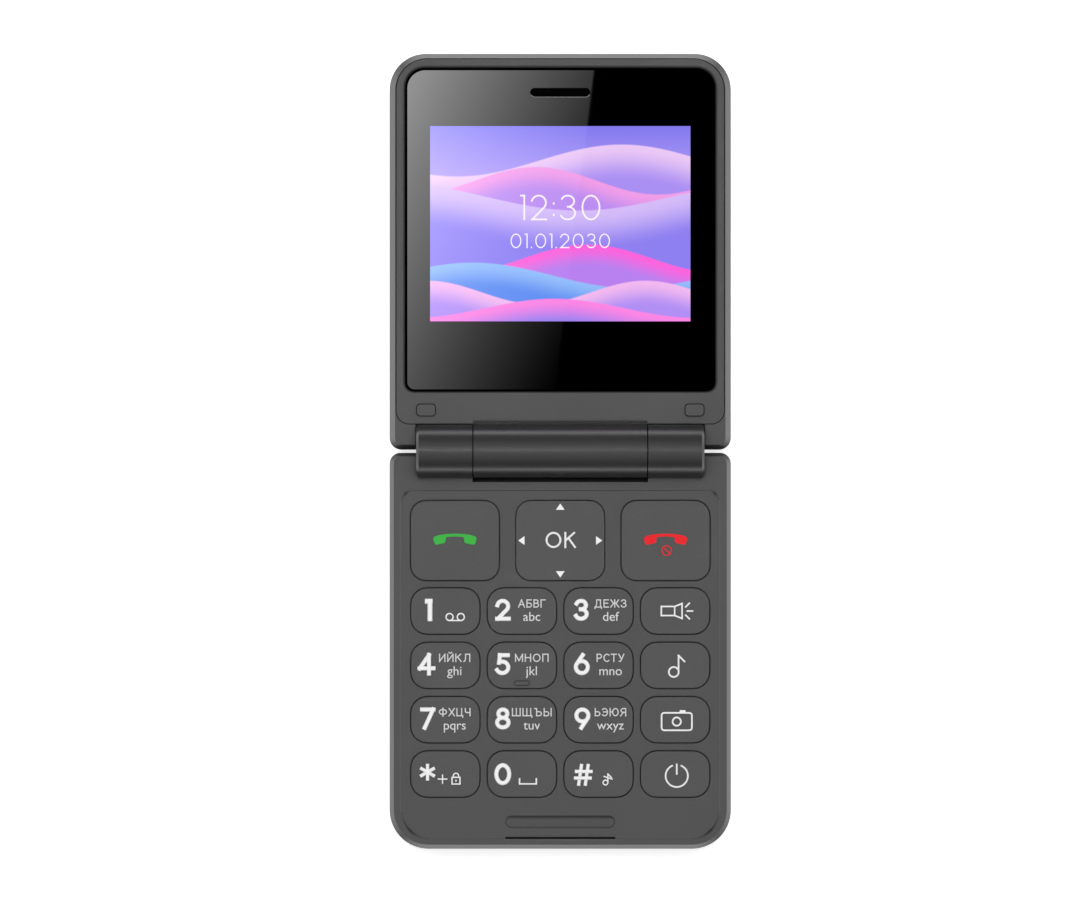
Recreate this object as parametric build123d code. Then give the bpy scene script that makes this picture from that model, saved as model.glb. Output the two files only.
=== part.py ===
from build123d import *
import os
from math import cos, radians, sin

# Clamshell mobile phone lying on its back, open flat, in millimetres.
# +X is to the right, +Y from the hinge towards the earpiece, +Z out of the front face.
# The origin is on the surface that the phone lies on, under the hinge line.

# Moulded shells
leaf_gap = 0.6
lid_near_corner = 2.2
lid_far_corner = 6.8
base_near_corner = 2.0
base_far_corner = 7.3
lid_bevel = 1.03
base_bevel = 0.8
lid_near_draft = 0.9
base_near_draft = 0.65
near_draft_depth = 3.0
back_bevel = base_near_corner * 0.6
back_ease = back_bevel / 3
side_wall = 1.25
seam = 0.05
frame_gap = 0.15

# Stack of the base, from the back to the face
cover_thickness = 0.9
cover_gap = 0.1
battery_thickness = 4.3
battery_gap = 0.1
bay_floor = 0.6
board_thickness = 0.9
film_thickness = 0.1
dome_height = 0.2
key_travel = 0.35
press_clearance = 0.05
nub_through = 0.3
mat_thickness = 0.5
flange_thickness = 0.55
flange_gap = 0.1
plate_thickness = 1.1
plateau_height = 0.2
plateau_slope = 0.18
key_proud = 0.2
base_back_wall = 1.2

# Stack of the lid, from the face to the back
lens_recess = 0.6
lens_thickness = 0.9
lens_ledge = 0.7
panel_gap = 0.15
panel_thickness = 1.4
backlight_thickness = 1.6
lid_board_gap = 0.15
lid_board_thickness = 0.7
lid_rib_height = 0.9
lid_rib_pitch = 24.0
lid_rib_width = 1.2
lid_back_wall = 1.2
closed_gap = 0.8

# Hinge
barrel_radius = 5.0
barrel_gap = 0.15
centre_knuckle_length = 32.6
knuckle_gap = 0.2
side_knuckle_length = 10.55
ear_gap = 0.2
ear_width = 5.05
base_slot_gap = 0.8
strip_overlap = 0.67
strip_proud = 0.25
saddle_depth = 3.7
knuckle_end_bevel = 0.45
cartridge_radius = 3.4
cartridge_sides = 6
cartridge_length = 15.2
cartridge_end = 1.2
shaft_radius = 2.0
shaft_end_gap = 1.2
shaft_insert = 8.6
drive_size = 2.6
bush_radius = 2.8
bush_wall = 0.6
bush_insert = 11.0
running_clearance = 0.05

# Lid front
lid_rim = 1.3
lid_far_rim = 1.03
frame_clearance = 0.2
frame_border = 1.9
frame_far_border = 1.95
frame_near_corner = 2.4
frame_far_corner = 5.8
lens_near_corner = 1.5
lens_far_corner = 3.5
lens_mouth = 0.7
lens_edge = 0.15
lens_border = 4.42
chin = 6.3
display_chin = 12.94
display_forehead = 10.64
display_width = 48.96
display_height = 36.72
panel_border_x = 3.3
panel_border_y = 2.4
tray_rim = 0.6
earpiece_rise = 6.34
earpiece_length = 11.35
earpiece_width = 1.7
receiver_length = 15.0
receiver_width = 6.2
receiver_thickness = 2.2
mesh_thickness = 0.4
bumper_inset = 5.55
bumper_rise = 2.55
bumper_length = 3.4
bumper_width = 2.1
bumper_corner = 0.6
bumper_proud = 0.45
bumper_sink = 0.5
screw_sides = 8
screw_head_radius = 1.1
screw_head_height = 0.8
screw_radius = 0.65
screw_clearance = 0.05
screw_tip_gap = 0.4
lid_boss_radius = 2.1
camera_rise = 8.0
camera_size = 6.6
camera_height = 3.9
camera_window_radius = 3.4
camera_window_thickness = 0.6
camera_sight_radius = 2.4
torch_pitch = 9.5
torch_radius = 1.6
torch_flange = 0.6
torch_flange_height = 1.0
magnet_inset_x = 4.3
magnet_inset_y = 6.75
magnet_length = 6.0
magnet_width = 3.0
magnet_thickness = 1.6

# Keypad
keypad_margin = 1.7
base_border = 2.35
plateau_inset = 1.5
plateau_near_corner = 1.9
plateau_far_corner = 5.1
plateau_far_border = 1.88
corner_flats = 5
key_gap = 0.25
flange_lip = 0.45
nub_size = 3.0
mat_hole_gap = 0.3
mat_margin = 1.0
mat_rim = 1.0
big_key_width = 16.5
big_key_height = 14.86
big_key_corner = 2.8
big_key_spacing = 3.3
big_key_inset = 2.05
small_key_width = 12.8
small_key_height = 8.5
small_key_corner = 3.0
small_key_spacing_x = 1.6
small_key_spacing_y = 1.715
row_spacing = 1.58
dome_radius = 2.1
dome_sides = 4
nav_nub_size = 4.0
nav_pad_width = 10.0
nav_pad_height = 9.0
nav_pad_thickness = 0.5
nav_lower_gap = 0.15
nav_upper_gap = 0.4
nav_dome_reach = 4.6
ridge_length = 2.64
ridge_width = 0.66
ridge_height = 0.2
ridge_inset = 0.58
ridge_corner = 0.28
ridge_ring = 0.16
ridge_ring_depth = 0.25
groove_rise = 3.0
groove_length = 20.7
groove_width = 2.37
groove_depth = 0.5
groove_room = 7.765
slit_width = 0.4

# Base interior
cavity_inset = 1.2
pocket_margin = 1.625
bay_wall = 1.25
bay_far_gap = 0.2
bay_far_wall = 3.78
battery_length = 54.0
battery_width = 34.0
battery_corner = 1.5
battery_side_gap = 0.3
contact_depth = 1.5
contact_length = 9.0
contact_height = 3.2
contact_gap = 0.2
contact_pitch = 3.6
cover_margin = 1.2
cover_edge = 3.6
cover_near_margin = 3.0
cover_corner = 3.0
grip_length = 14.0
grip_width = 0.8
grip_depth = 0.3
grip_pitch = 2.0
grip_count = 3
grip_inset = 8.78
sim_length = 15.0
sim_width = 12.0
sim_thickness = 1.3
sim_spacing = 3.0
sim_slot = 0.8
sim_gap = 0.6
usb_width = 7.5
usb_height = 2.5
usb_depth = 5.2
usb_wall = 0.3
usb_tongue = 0.6
usb_tongue_width = 3.7
usb_corner = 0.6
port_gap = 0.2
can_gap = 1.8
can_length = 13.0
can_width = 11.0
can_height = 1.3
can_edge = 0.3
speaker_length = 15.0
speaker_width = 11.0
basket_thickness = 1.9
cone_length = 8.0
cone_width = 6.0
cone_thickness = 1.2
grille_length = 8.0
grille_width = 1.0
grille_pitch = 2.2
grille_count = 4
motor_gap = 4.0
motor_length = 8.0
motor_radius = 2.0
motor_shaft_radius = 0.5
motor_shaft_length = 4.2
weight_radius = 1.8
weight_length = 3.4
weight_gap = 0.4
mic_length = 3.8
mic_width = 2.8
mic_height = 1.2
mic_gap = 0.5
top_screw_gap = 1.6
top_screw_sink = 1.4
low_screw_inset = 3.8
low_screw_gap = 1.14
low_boss_radius = 1.8
board_gap = 0.7
overcut = 1.0

# Heights that follow from the stacks
bay_floor_low = cover_thickness + cover_gap + battery_thickness + battery_gap
board_low = bay_floor_low + bay_floor
board_high = board_low + board_thickness
film_high = board_high + film_thickness
dome_high = film_high + dome_height
nub_low = dome_high + press_clearance + key_travel
mat_low = nub_low + nub_through
mat_high = mat_low + mat_thickness
flange_low = mat_high + key_travel + flange_gap
flange_high = flange_low + flange_thickness
plate_low = flange_high + flange_gap
face_z = plate_low + plate_thickness
plateau_z = face_z + plateau_height
key_high = plateau_z + key_proud
parting_z = film_high
lens_high = face_z - lens_recess
lens_low = lens_high - lens_thickness
frame_low = lens_low - lens_ledge
panel_high = lens_low - panel_gap
panel_low = panel_high - panel_thickness
backlight_low = panel_low - backlight_thickness
lid_board_high = backlight_low - lid_board_gap
lid_board_low = lid_board_high - lid_board_thickness
lid_inside_low = lid_board_low - lid_rib_height
lid_back_z = lid_inside_low - lid_back_wall
axis_z = face_z + closed_gap / 2
motor_z = base_back_wall + motor_radius
nav_nub_high = mat_high
nav_pad_low = nav_nub_high + nav_lower_gap
nav_pad_high = nav_pad_low + nav_pad_thickness
nav_cap_low = nav_pad_high + nav_upper_gap

# Places along the barrel
centre_end = centre_knuckle_length / 2
side_start = centre_end + knuckle_gap
side_end = side_start + side_knuckle_length
notch_end = side_end + ear_gap
slot_radius = barrel_radius + base_slot_gap
strip_reach = barrel_radius + strip_overlap

# Keypad grid, from the hinge down: three big keys over four rows of four small keys
plateau_near_y = -slot_radius - plateau_inset
big_key_y = plateau_near_y - big_key_inset - big_key_height / 2
big_key_pitch = big_key_width + big_key_spacing
pitch_x = small_key_width + small_key_spacing_x
pitch_y = small_key_height + small_key_spacing_y
first_row_y = big_key_y - big_key_height / 2 - row_spacing - small_key_height / 2
columns = [(i - 1.5) * pitch_x for i in range(4)]
rows = [first_row_y - i * pitch_y for i in range(4)]
keys_half_width = max(columns[-1] + small_key_width / 2, big_key_pitch + big_key_width / 2)
keys_near_y = big_key_y + big_key_height / 2
keys_far_y = rows[-1] - small_key_height / 2

# Rooms inside the base, from the hinge down
cavity_near_y = -slot_radius - cavity_inset
pocket_far_y = cavity_near_y - max(speaker_width, can_width) - 2 * pocket_margin
pocket_y = (cavity_near_y + pocket_far_y) / 2
bay_near_y = pocket_far_y - bay_wall
battery_near_y = bay_near_y - contact_depth - contact_gap
battery_far_y = battery_near_y - battery_width
sim_far_y = battery_far_y - sim_gap - sim_width
bay_far_y = sim_far_y - bay_far_gap
bay_half_width = battery_length / 2 + battery_side_gap
cover_half_width = bay_half_width + cover_margin
cover_near_y = bay_near_y + cover_near_margin

# Places along the lid, from the hinge up
frame_near_y = barrel_radius + frame_clearance
lens_near_y = frame_near_y + chin
display_y = lens_near_y + display_chin + display_height / 2
display_far_y = display_y + display_height / 2
earpiece_y = display_far_y + earpiece_rise
camera_y = frame_near_y + camera_rise

# The case is as wide and as long as the roomiest of its contents needs
half_width = max(
    keys_half_width + keypad_margin + base_border,
    display_width / 2 + lens_border + frame_border + lid_rim,
    cover_half_width + cover_edge,
    side_end + ear_width,
)
leaf_length = max(
    groove_room - keys_far_y + slit_width / 2 + plateau_far_border,
    display_far_y + display_forehead + frame_far_border + lid_far_rim,
    bay_far_wall - bay_far_y,
)
frame_half_width = half_width - lid_rim
lens_half_width = frame_half_width - frame_border
frame_far_y = leaf_length - lid_far_rim
lens_far_y = frame_far_y - frame_far_border
bumper_x = frame_half_width - bumper_inset
bumper_y = frame_near_y + bumper_rise
magnet_x = frame_half_width - magnet_inset_x
magnet_y = frame_far_y - magnet_inset_y
plateau_half_width = half_width - base_border
plateau_far_y = plateau_far_border - leaf_length
slit_y = plateau_far_y + slit_width / 2
groove_y = slit_y + groove_rise
low_screw_x = bay_half_width - low_screw_inset
low_screw_y = keys_far_y - flange_lip - low_boss_radius - low_screw_gap
top_screw_x = (side_start + side_end) / 2
top_screw_y = -shaft_radius - top_screw_gap
pocket_half_width = half_width - side_wall
usb_out_x = base_bevel - half_width
can_x = usb_out_x + usb_depth + can_gap + can_length / 2
motor_x = speaker_length / 2 + motor_gap + motor_length / 2
pad_half_width = keys_half_width + mat_margin
pad_near_y = keys_near_y + mat_margin
pad_far_y = keys_far_y - mat_margin

small_names = [
    ["key_1", "key_2", "key_3", "torch_key"],
    ["key_4", "key_5", "key_6", "music_key"],
    ["key_7", "key_8", "key_9", "camera_key"],
    ["key_star", "key_0", "key_hash", "power_key"],
]
small_size = (small_key_width, small_key_height, small_key_corner)
big_size = (big_key_width, big_key_height, big_key_corner)
small_keys = {
    name: (columns[c], rows[r]) for r, line in enumerate(small_names) for c, name in enumerate(line)
}
big_keys = {"send_key": (-big_key_pitch, big_key_y), "end_key": (big_key_pitch, big_key_y)}
nav_place = (0, big_key_y)


def prism(outline, low, high):
    """Straight solid on a flat outline between two heights."""
    return extrude(Pos(0, 0, low) * outline, high - low, dir=(0, 0, 1))


def bar(outline, x_low, x_high):
    """Straight solid along the hinge axis on an outline drawn round it."""
    start = Plane((x_low, 0, axis_z), x_dir=(0, 1, 0), z_dir=(1, 0, 0))
    return extrude(start * outline, x_high - x_low)


def barrel(radius, x_low, x_high):
    """Cylinder on the hinge axis."""
    return bar(Circle(radius), x_low, x_high)


def plate(half, y_low, y_high, low_corner, high_corner, z_low, z_high):
    """Prism on a rectangle whose corners at its two ends have radii of their own."""
    outline = Pos(0, (y_low + y_high) / 2) * Rectangle(2 * half, y_high - y_low)
    if high_corner:
        outline = fillet(outline.vertices().group_by(Axis.Y)[-1], high_corner)
    if low_corner:
        outline = fillet(outline.vertices().group_by(Axis.Y)[0], low_corner)
    return prism(outline, z_low, z_high)


def block(x_low, x_high, y_low, y_high, z_low, z_high):
    """Box between two corners."""
    centre = Pos((x_low + x_high) / 2, (y_low + y_high) / 2, (z_low + z_high) / 2)
    return centre * Box(x_high - x_low, y_high - y_low, z_high - z_low)


def slab(x, y, length, width, z_low, z_high):
    """Box about a place on the plan, between two heights."""
    return block(x - length / 2, x + length / 2, y - width / 2, y + width / 2, z_low, z_high)


def post(x, y, radius, z_low, z_high):
    """Upright cylinder between two heights."""
    return prism(Pos(x, y) * Circle(radius), z_low, z_high)


def pin(x, y, radius, z_low, z_high):
    """Upright post with a few flat sides, for screws, bosses and their holes."""
    return prism(Pos(x, y) * RegularPolygon(radius, screw_sides), z_low, z_high)


def soft_rectangle(width, height, radius):
    """Rectangle whose rounded corners are made of a few flats."""
    points = []
    for turn, (side_x, side_y) in enumerate([(1, 1), (-1, 1), (-1, -1), (1, -1)]):
        for i in range(corner_flats + 1):
            angle = radians(90 * (turn + i / corner_flats))
            x = side_x * (width / 2 - radius) + radius * cos(angle)
            y = side_y * (height / 2 - radius) + radius * sin(angle)
            points.append((x, y))
    return make_face(Polyline(*points, close=True))


def top_edges(solid):
    return solid.faces().sort_by(Axis.Z)[-1].edges()


def bottom_edges(solid):
    return solid.faces().sort_by(Axis.Z)[0].edges()


def ease_back(solid):
    """Back edge of a shell, eased in two steps."""
    solid = chamfer(bottom_edges(solid), back_bevel)
    return chamfer(bottom_edges(solid), back_ease)


def near_wedge(near_y, draft, towards):
    """Cutter for the steep end face beside the barrel; towards is 1 on the lid and -1 on the base."""
    low = face_z - near_draft_depth
    high = face_z + overcut
    reach = draft * (high - low) / near_draft_depth
    points = [
        (near_y, low - axis_z),
        (near_y + towards * reach, high - axis_z),
        (near_y - towards * overcut, high - axis_z),
        (near_y - towards * overcut, low - axis_z),
    ]
    return bar(make_face(Polyline(*points, close=True)), -half_width - overcut, half_width + overcut)


# Lid

def make_lid_rear_shell():
    """Tray with a bevelled rim, notched round the barrel, with bosses, ribs and the outer windows."""
    shell = plate(half_width, leaf_gap / 2, leaf_length, lid_near_corner, lid_far_corner, lid_back_z, face_z)
    shell = ease_back(chamfer(top_edges(shell), lid_bevel))
    shell -= near_wedge(leaf_gap / 2, lid_near_draft, 1)
    shell -= plate(
        frame_half_width + frame_gap, frame_near_y - frame_gap, frame_far_y + frame_gap,
        frame_near_corner + frame_gap, frame_far_corner + frame_gap, lid_inside_low, face_z + overcut,
    )
    shell -= barrel(barrel_radius + barrel_gap, -notch_end, notch_end)
    shell -= block(-notch_end, notch_end, -overcut, frame_near_y, frame_low, face_z + overcut)
    shell -= block(
        -centre_end - seam, centre_end + seam, -overcut, strip_reach + seam,
        axis_z - saddle_depth - seam, face_z + overcut,
    )
    for side in (-1, 1):
        x = side * bumper_x
        shell += pin(x, bumper_y, lid_boss_radius, lid_inside_low, frame_low)
        shell -= pin(x, bumper_y, screw_radius + screw_clearance, lid_inside_low, frame_low)
        shell += slab(
            side * lid_rib_pitch / 2, display_y, lid_rib_width, display_height, lid_inside_low, lid_board_low
        )
    window_high = lid_back_z + camera_window_thickness
    shell -= post(0, camera_y, camera_window_radius + seam, lid_back_z, window_high)
    shell -= post(0, camera_y, camera_sight_radius, window_high, lid_inside_low)
    shell -= post(torch_pitch, camera_y, torch_radius + seam, lid_back_z, lid_inside_low)
    return shell


def make_lid_front_frame():
    """Inset panel with the stepped lens recess, screw-cover pockets and a notch for the knuckle strip."""
    frame = plate(
        frame_half_width, frame_near_y, frame_far_y, frame_near_corner, frame_far_corner, frame_low, face_z
    )
    frame -= plate(
        lens_half_width + seam, lens_near_y - seam, lens_far_y + seam,
        lens_near_corner + seam, lens_far_corner + seam, lens_low, face_z,
    )
    mouth = frame.faces().sort_by(Axis.Z)[-1].inner_wires()[0].edges()
    frame = chamfer(mouth, lens_mouth)
    room = 2 * panel_gap
    panel_length = display_width + 2 * panel_border_x
    panel_width = display_height + 2 * panel_border_y
    frame -= slab(0, display_y, panel_length + room, panel_width + room, frame_low, lens_low)
    frame -= slab(0, earpiece_y, receiver_length + room, receiver_width + room, frame_low, lens_low)
    frame -= slab(0, camera_y, camera_size + room, camera_size + room, frame_low, lens_low)
    frame -= block(
        -centre_end - seam, centre_end + seam, frame_near_y - overcut, strip_reach + seam,
        frame_low, face_z,
    )
    cover = soft_rectangle(bumper_length + 2 * seam, bumper_width + 2 * seam, bumper_corner)
    seat = face_z - bumper_sink
    for side in (-1, 1):
        x = side * bumper_x
        frame -= prism(Pos(x, bumper_y) * cover, seat, face_z)
        frame -= pin(x, bumper_y, screw_head_radius + screw_clearance, seat - screw_head_height, seat)
        frame -= pin(x, bumper_y, screw_radius + screw_clearance, frame_low, seat - screw_head_height)
    return frame


def make_hinge_centre_knuckle():
    """Middle third of the barrel with the saddle and strip that seat it in the lid."""
    knuckle = barrel(barrel_radius, -centre_end, centre_end)
    knuckle += block(-centre_end, centre_end, 0, strip_reach, axis_z - saddle_depth, face_z + strip_proud)
    knuckle -= bar(
        RegularPolygon(cartridge_radius + seam, cartridge_sides), centre_end - cartridge_length, centre_end
    )
    knuckle -= barrel(bush_radius + running_clearance, -centre_end, -centre_end + bush_insert)
    return knuckle


def make_hinge_cartridge():
    """Six-sided can of the sprung cam cartridge, open towards its shaft."""
    start = centre_end - cartridge_length
    can = bar(RegularPolygon(cartridge_radius, cartridge_sides), start, centre_end)
    return can - barrel(shaft_radius + running_clearance, start + cartridge_end, centre_end)


def earpiece_slot(margin):
    return Pos(0, earpiece_y) * SlotOverall(earpiece_length - 2 * margin, earpiece_width - 2 * margin)


def make_display_lens():
    """Clear front sheet with eased edges and the earpiece slot."""
    lens = plate(
        lens_half_width, lens_near_y, lens_far_y, lens_near_corner, lens_far_corner, lens_low, lens_high
    )
    lens = chamfer(top_edges(lens), lens_edge)
    return lens - prism(earpiece_slot(0), lens_low, lens_high)


def make_lcd_panel():
    """Two glass sheets of the display, the rear one longer for its driver ledge."""
    half_x = display_width / 2 + panel_border_x
    half_y = display_height / 2 + panel_border_y
    middle = (panel_low + panel_high) / 2
    ledge = half_y - panel_border_y / 2
    rear = block(-half_x, half_x, display_y - half_y, display_y + half_y, panel_low, middle)
    return rear + block(-half_x, half_x, display_y - ledge, display_y + half_y, middle, panel_high)


def make_lcd_backlight():
    """Light tray behind the display, with a rim that stands round the glass."""
    length = display_width + 2 * panel_border_x
    width = display_height + 2 * panel_border_y
    tray = slab(
        0, display_y, length + 2 * tray_rim, width + 2 * tray_rim, backlight_low, frame_low - seam
    )
    return tray - slab(0, display_y, length + 2 * seam, width + 2 * seam, panel_low, frame_low)


def make_lid_board():
    return slab(0, display_y, display_width, display_height, lid_board_low, lid_board_high)


def make_earpiece():
    """Receiver capsule that seats against the back of the lens."""
    return slab(0, earpiece_y, receiver_length, receiver_width, lens_low - receiver_thickness, lens_low)


def make_earpiece_mesh():
    return prism(earpiece_slot(seam), lens_low, lens_low + mesh_thickness)


def make_lid_bumpers():
    """Two raised covers over the lid screws, which also keep the closed faces apart."""
    outline = soft_rectangle(bumper_length, bumper_width, bumper_corner)
    covers = []
    for side in (-1, 1):
        place = Pos(side * bumper_x, bumper_y)
        covers.append(prism(place * outline, face_z - bumper_sink, face_z + bumper_proud))
    return Compound(covers)


def screw(x, y, tip, head_low, head_high, shank_from):
    """Screw with a plain head, its shank between the head and the tip."""
    shank = pin(x, y, screw_radius, *sorted((tip, shank_from)))
    return (pin(x, y, screw_head_radius, head_low, head_high) + shank).solid()


def make_lid_screws():
    """Two screws under the covers, down through the frame into the shell's bosses."""
    high = face_z - bumper_sink
    low = high - screw_head_height
    tip = lid_inside_low + screw_tip_gap
    return Compound([screw(side * bumper_x, bumper_y, tip, low, high, low) for side in (-1, 1)])


def make_camera_module():
    """Camera block on the lid's back wall, behind its sight hole."""
    return slab(0, camera_y, camera_size, camera_size, lid_inside_low, lid_inside_low + camera_height)


def make_camera_window():
    return post(0, camera_y, camera_window_radius, lid_back_z, lid_back_z + camera_window_thickness)


def make_torch_lamp():
    """Clear lamp with a flange that seats inside the lid's back wall."""
    lamp = post(torch_pitch, camera_y, torch_radius, lid_back_z, lid_inside_low)
    flange = 2 * (torch_radius + torch_flange)
    return lamp + slab(
        torch_pitch, camera_y, flange, flange, lid_inside_low, lid_inside_low + torch_flange_height
    )


def make_lid_magnet():
    high = lid_inside_low + magnet_thickness
    return slab(magnet_x, magnet_y, magnet_length, magnet_width, lid_inside_low, high)


# Base

def base_form(z_low, z_high):
    """Outer form of the base leaf between two heights."""
    return plate(half_width, -leaf_length, -leaf_gap / 2, base_far_corner, base_near_corner, z_low, z_high)


def base_cavity(z_low, z_high):
    """Room inside the base's side walls between two heights."""
    far_corner = base_far_corner - side_wall
    return plate(pocket_half_width, side_wall - leaf_length, cavity_near_y, far_corner, 0, z_low, z_high)


def make_base_front_frame():
    """Keypad panel with its openings, groove and slit, and the two side knuckles of the barrel."""
    frame = chamfer(top_edges(base_form(parting_z, face_z)), base_bevel)
    frame -= near_wedge(-leaf_gap / 2, base_near_draft, -1)
    plateau = plate(
        plateau_half_width, plateau_far_y, plateau_near_y, plateau_far_corner, plateau_near_corner,
        face_z - plate_thickness / 2, plateau_z,
    )
    frame += chamfer(top_edges(plateau), plateau_slope)
    frame -= base_cavity(parting_z, plate_low)
    knuckle = barrel(barrel_radius, side_start, side_end)
    knuckle = chamfer(knuckle.edges().group_by(Axis.X)[-1], knuckle_end_bevel)
    frame += knuckle
    frame += mirror(knuckle, Plane.YZ)
    hole = screw_radius + screw_clearance
    for side in (-1, 1):
        frame += pin(side * low_screw_x, low_screw_y, low_boss_radius, board_high, plate_low)
        frame -= pin(side * low_screw_x, low_screw_y, hole, board_high, plate_low)
        frame -= pin(side * top_screw_x, top_screw_y, hole, 0, face_z - plate_thickness)
    frame -= barrel(slot_radius, -side_start, side_start)
    drive = drive_size + 2 * seam
    frame -= bar(Rectangle(drive, drive), side_start, side_start + shaft_insert)
    frame -= barrel(bush_radius + running_clearance, -side_start - shaft_insert, -side_start)
    openings = [(place, small_size) for place in small_keys.values()]
    openings += [(place, big_size) for place in [*big_keys.values(), nav_place]]
    for (x, y), (w, h, r) in openings:
        outline = soft_rectangle(w + 2 * key_gap, h + 2 * key_gap, r + key_gap)
        frame -= prism(Pos(x, y) * outline, plate_low, plateau_z)
    groove_low = plateau_z - groove_depth
    frame -= prism(Pos(0, groove_y) * SlotOverall(groove_length, groove_width), groove_low, plateau_z)
    frame -= slab(0, slit_y, groove_length, slit_width, plate_low, plateau_z)
    return frame


def base_back_form():
    """Eased rear half of the base before it is hollowed."""
    return ease_back(base_form(0, parting_z - seam))


def cover_room(margin):
    """Space of the sliding battery cover, open at the far end of the base."""
    return plate(
        cover_half_width + margin, -leaf_length, cover_near_y + margin,
        0, cover_corner + margin, 0, cover_thickness + margin,
    )


def make_base_rear_shell():
    """Rear housing with the battery bay, the component pocket and the openings in its back and side."""
    shell = base_back_form()
    shell -= cover_room(cover_gap)
    shell -= base_cavity(board_low, parting_z)
    shell -= block(-bay_half_width, bay_half_width, bay_far_y, bay_near_y, 0, bay_floor_low)
    shell -= block(
        -pocket_half_width, pocket_half_width, pocket_far_y, cavity_near_y, base_back_wall, board_low
    )
    hole = screw_radius + screw_clearance
    head = screw_head_radius + screw_clearance
    for side in (-1, 1):
        ends = sorted((side * centre_end, side * (side_end + seam)))
        shell -= barrel(barrel_radius + seam, *ends)
        x = side * top_screw_x
        shell -= pin(x, top_screw_y, hole, 0, parting_z)
        shell -= pin(x, top_screw_y, head, 0, top_screw_sink + screw_head_height)
        shell -= pin(side * low_screw_x, low_screw_y, hole, bay_floor_low, board_low)
    shell -= barrel(slot_radius, -side_start, side_start)
    for i in range(grille_count):
        y = pocket_y + (i - (grille_count - 1) / 2) * grille_pitch
        shell -= slab(0, y, grille_length, grille_width, 0, base_back_wall)
    shell -= block(
        -half_width, -pocket_half_width,
        pocket_y - usb_width / 2 - port_gap, pocket_y + usb_width / 2 + port_gap,
        board_low - usb_height - port_gap, board_low,
    )
    return shell


def make_battery_cover():
    """Sliding door, flush with the back, with grip grooves near its end."""
    cover = base_back_form() & cover_room(0)
    for i in range(grip_count):
        y = grip_inset - leaf_length + i * grip_pitch
        cover -= slab(0, y, grip_length, grip_width, 0, grip_depth)
    return cover


def make_battery():
    """Flat cell with eased upright corners."""
    low = cover_thickness + cover_gap
    half_x = battery_length / 2
    cell = block(-half_x, half_x, battery_far_y, battery_near_y, low, low + battery_thickness)
    return chamfer(cell.edges().filter_by(Axis.Z), battery_corner)


def make_battery_contacts():
    """Contact block between the bay's end wall and the battery, with three sprung blades' slots."""
    low = bay_floor_low - contact_height
    contacts = block(
        -contact_length / 2, contact_length / 2, bay_near_y - contact_depth, bay_near_y, low, bay_floor_low
    )
    for side in (-1, 1):
        x = side * contact_pitch / 2
        contacts -= block(
            x - contact_gap, x + contact_gap,
            bay_near_y - contact_depth, bay_near_y - contact_depth / 2, low, bay_floor_low,
        )
    return contacts


def make_sim_sockets():
    """Two card holders on the floor of the bay, open towards the battery."""
    sockets = []
    low = bay_floor_low - sim_thickness
    near_y = sim_far_y + sim_width
    shelf = (sim_thickness - sim_slot) / 2
    for side in (-1, 1):
        x = side * (sim_length + sim_spacing) / 2
        half = sim_length / 2
        socket = block(x - half, x + half, sim_far_y, near_y, low, bay_floor_low)
        half -= sim_slot
        socket -= block(
            x - half, x + half, sim_far_y + sim_slot, near_y, low + shelf, bay_floor_low - shelf
        )
        sockets.append(socket.solid())
    return Compound(sockets)


def make_main_board():
    """Circuit board on the bay's roof, with its far corners cut to clear the case."""
    half_x = pocket_half_width - board_gap
    far_y = side_wall + board_gap - leaf_length
    board = block(-half_x, half_x, far_y, cavity_near_y - board_gap, board_low, board_high)
    corners = board.edges().filter_by(Axis.Z).group_by(Axis.Y)[0]
    board = chamfer(corners, (base_far_corner - side_wall) * 2 / 3)
    for side in (-1, 1):
        board -= pin(side * low_screw_x, low_screw_y, screw_radius + screw_clearance, board_low, board_high)
    return board


def make_dome_sheet():
    """Film with a snap dome under each key and under the four sides of the navigation key."""
    sheet = block(-pad_half_width, pad_half_width, pad_far_y, pad_near_y, board_high, film_high)
    places = [*small_keys.values(), *big_keys.values(), nav_place]
    places += [(side * nav_dome_reach, big_key_y) for side in (-1, 1)]
    places += [(0, big_key_y + side * nav_dome_reach) for side in (-1, 1)]
    for x, y in places:
        sheet += prism(Pos(x, y) * RegularPolygon(dome_radius, dome_sides), film_high, dome_high)
    return sheet


def make_keypad_mat():
    """Silicone mat on a raised rim, with an opening under each key for its nub."""
    mat = block(-pad_half_width, pad_half_width, pad_far_y, pad_near_y, film_high, mat_high)
    inner = pad_half_width - mat_rim
    mat -= block(-inner, inner, pad_far_y + mat_rim, pad_near_y - mat_rim, film_high, mat_low)
    hole = nub_size + 2 * mat_hole_gap
    for x, y in [*small_keys.values(), *big_keys.values()]:
        mat -= slab(x, y, hole, hole, mat_low, mat_high)
    nav_length = nav_pad_width + 2 * mat_hole_gap
    nav_width = nav_pad_height + 2 * mat_hole_gap
    return mat - slab(0, big_key_y, nav_length, nav_width, mat_low, mat_high)


def make_shield_can():
    can = slab(can_x, pocket_y, can_length, can_width, board_low - can_height, board_low)
    return chamfer(bottom_edges(can), can_edge)


def usb_form(x_low, x_high, margin):
    """Outline of the charging socket, with its two lower corners cut."""
    half = usb_width / 2 - margin
    form = block(
        x_low, x_high, pocket_y - half, pocket_y + half, board_low - usb_height + margin, board_low - margin
    )
    return chamfer(form.edges().filter_by(Axis.X).group_by(Axis.Z)[0], usb_corner)


def make_usb_socket():
    """Charging socket under the board's left edge: a steel shell round a contact tongue."""
    inner_x = usb_out_x + usb_depth
    shell = usb_form(usb_out_x, inner_x, 0) - usb_form(usb_out_x, inner_x - usb_wall, usb_wall)
    half = usb_tongue_width / 2
    high = board_low - 2 * usb_wall
    return shell + block(
        usb_out_x + usb_wall, inner_x, pocket_y - half, pocket_y + half, high - usb_tongue, high
    )


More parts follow.
